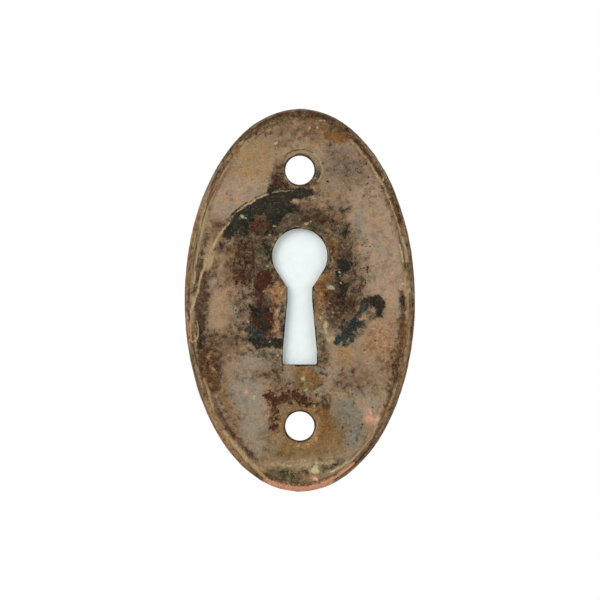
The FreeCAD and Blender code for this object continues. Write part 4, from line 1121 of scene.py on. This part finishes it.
def pale_floor():
    """Matt white paper that keeps a faint shadow."""
    material, tree = bare_material("white_paper_floor")
    matt = matt_paper(tree, 1.5, "#f4f4f2", "#fbfbfa")
    glow = add(tree, "ShaderNodeEmission", {"Color": (1, 1, 1, 1), "Strength": 1.0}).outputs[0]
    seen = add(tree, "ShaderNodeLightPath").outputs["Is Camera Ray"]
    amount = add(tree, "ShaderNodeMath", {0: seen, 1: FLOOR_GLOW}, operation="MULTIPLY").outputs[0]
    surface = add(tree, "ShaderNodeMixShader", {0: amount, 1: matt, 2: glow})
    add(tree, "ShaderNodeOutputMaterial", {"Surface": surface.outputs[0]})
    return material


def paper_card():
    """Pale bluish paper seen through the keyhole; it shows only from the front."""
    material, tree = bare_material("bluish_white_card")
    matt = matt_paper(tree, 1.2, "#e7f0ef", "#ecf4f3")
    clear = add(tree, "ShaderNodeBsdfTransparent").outputs[0]
    behind = add(tree, "ShaderNodeNewGeometry").outputs["Backfacing"]
    shadow = add(tree, "ShaderNodeLightPath").outputs["Is Shadow Ray"]
    unseen = add(tree, "ShaderNodeMath", {0: behind, 1: shadow}, operation="MAXIMUM").outputs[0]
    surface = add(tree, "ShaderNodeMixShader", {0: unseen, 1: matt, 2: clear})
    add(tree, "ShaderNodeOutputMaterial", {"Surface": surface.outputs[0]})
    return material


def stand(name, bm, material):
    """Put a sheet of the stage in the scene."""
    item = bpy.data.objects.new(name, bpy.data.meshes.new(name))
    bm.to_mesh(item.data)
    bm.free()
    item.data.materials.append(material)
    bpy.context.scene.collection.objects.link(item)
    return item


def set_stage():
    """Lay the floor below the plate and hold the card behind its keyhole."""
    bm = bmesh.new()
    bmesh.ops.create_circle(bm, cap_ends=True, segments=FLOOR_SIDES, radius=FLOOR_RADIUS * MM)
    bmesh.ops.translate(bm, verts=bm.verts, vec=(0, 0, -FLOOR_DROP * MM))
    stand("floor", bm, pale_floor())

    bm = bmesh.new()
    bmesh.ops.create_grid(bm, x_segments=1, y_segments=1, size=1.0)
    bmesh.ops.scale(bm, verts=bm.verts, vec=(CARD_HALF_WIDTH * MM, CARD_HALF_HEIGHT * MM, 1.0))
    bmesh.ops.rotate(bm, verts=bm.verts, matrix=Matrix.Rotation(math.radians(90), 3, "X"), cent=(0, 0, 0))
    bmesh.ops.translate(bm, verts=bm.verts, vec=(0, CARD_PLACE * MM, CARD_LIFT * MM))
    card = stand("card", bm, paper_card())
    # From behind, the card neither shades nor mirrors itself in the plate's back.
    card.visible_diffuse = False
    card.visible_glossy = False


def aim(item, target):
    """Turn a lamp or camera so that it looks at a point."""
    item.rotation_euler = (Vector(target) - item.location).to_track_quat("-Z", "Y").to_euler()


# Soft square lamps: place and size in metres, power in watts.
LAMPS = {
    "window": ((-0.38, -0.50, 0.26), 0.45, 2.72),
    "reflector": ((0.45, -0.50, 0.10), 0.50, 1.02),
}
ROOM_LIGHT = 0.49       # strength of the white room on the plate


def light_scene():
    """A large soft lamp from the upper left, a weaker one, and even light from all round."""
    for name, (place, size, power) in LAMPS.items():
        lamp = bpy.data.lights.new(name, "AREA")
        lamp.shape = "SQUARE"
        lamp.size = size
        lamp.energy = power
        item = bpy.data.objects.new(name, lamp)
        item.location = place
        bpy.context.scene.collection.objects.link(item)
        aim(item, (0, 0, 0))

    # The room is plain white to the eye and in reflections, and dimmer as a light.
    world = bpy.data.worlds.new("white_room")
    bpy.context.scene.world = world
    world.use_nodes = True
    tree = world.node_tree
    tree.nodes.clear()
    rays = add(tree, "ShaderNodeLightPath").outputs
    seen = rays["Is Camera Ray"]
    for kind in ("Is Glossy Ray", "Is Transmission Ray"):
        seen = add(tree, "ShaderNodeMath", {0: seen, 1: rays[kind]}, operation="MAXIMUM").outputs[0]
    strength = add(tree, "ShaderNodeMath", {0: seen, 1: 1 - ROOM_LIGHT, 2: ROOM_LIGHT},
                   operation="MULTIPLY_ADD").outputs[0]
    sky = add(tree, "ShaderNodeBackground", {"Color": (1, 1, 1, 1), "Strength": strength})
    add(tree, "ShaderNodeOutputWorld", {"Surface": sky.outputs[0]})


VIEW_WIDTH = 82.17      # width of the picture at the plate's front, in millimetres
LENS = 120.0            # focal length, in millimetres
SENSOR = 36.0           # and the width of what it falls on
NEAREST, FARTHEST = 0.01, 10.0      # metres that the camera sees
# The plate's middle stands this many pixels from the middle of a 600-pixel frame.
MIDDLE_RIGHT = -0.18
MIDDLE_DOWN = 0.22
PICTURE_WIDTH = 600


def set_camera():
    """Look at the plate squarely from the front, as the photograph does."""
    camera = bpy.data.objects.new("camera", bpy.data.cameras.new("camera"))
    camera.data.lens = LENS
    camera.data.sensor_width = SENSOR
    camera.data.clip_start = NEAREST
    camera.data.clip_end = FARTHEST
    pixel = VIEW_WIDTH / PICTURE_WIDTH * MM
    away = VIEW_WIDTH * LENS / SENSOR * MM
    camera.location = (-MIDDLE_RIGHT * pixel, cad_low.y - away, MIDDLE_DOWN * pixel)
    camera.rotation_euler = (math.radians(90), 0, 0)
    bpy.context.scene.collection.objects.link(camera)
    bpy.context.scene.camera = camera


plate = dress_plate()
paint_plate(plate)
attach(plate, "root")
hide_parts("escutcheon_plate")
set_stage()
light_scene()
set_camera()
bpy.context.scene.view_settings.view_transform = "Standard"
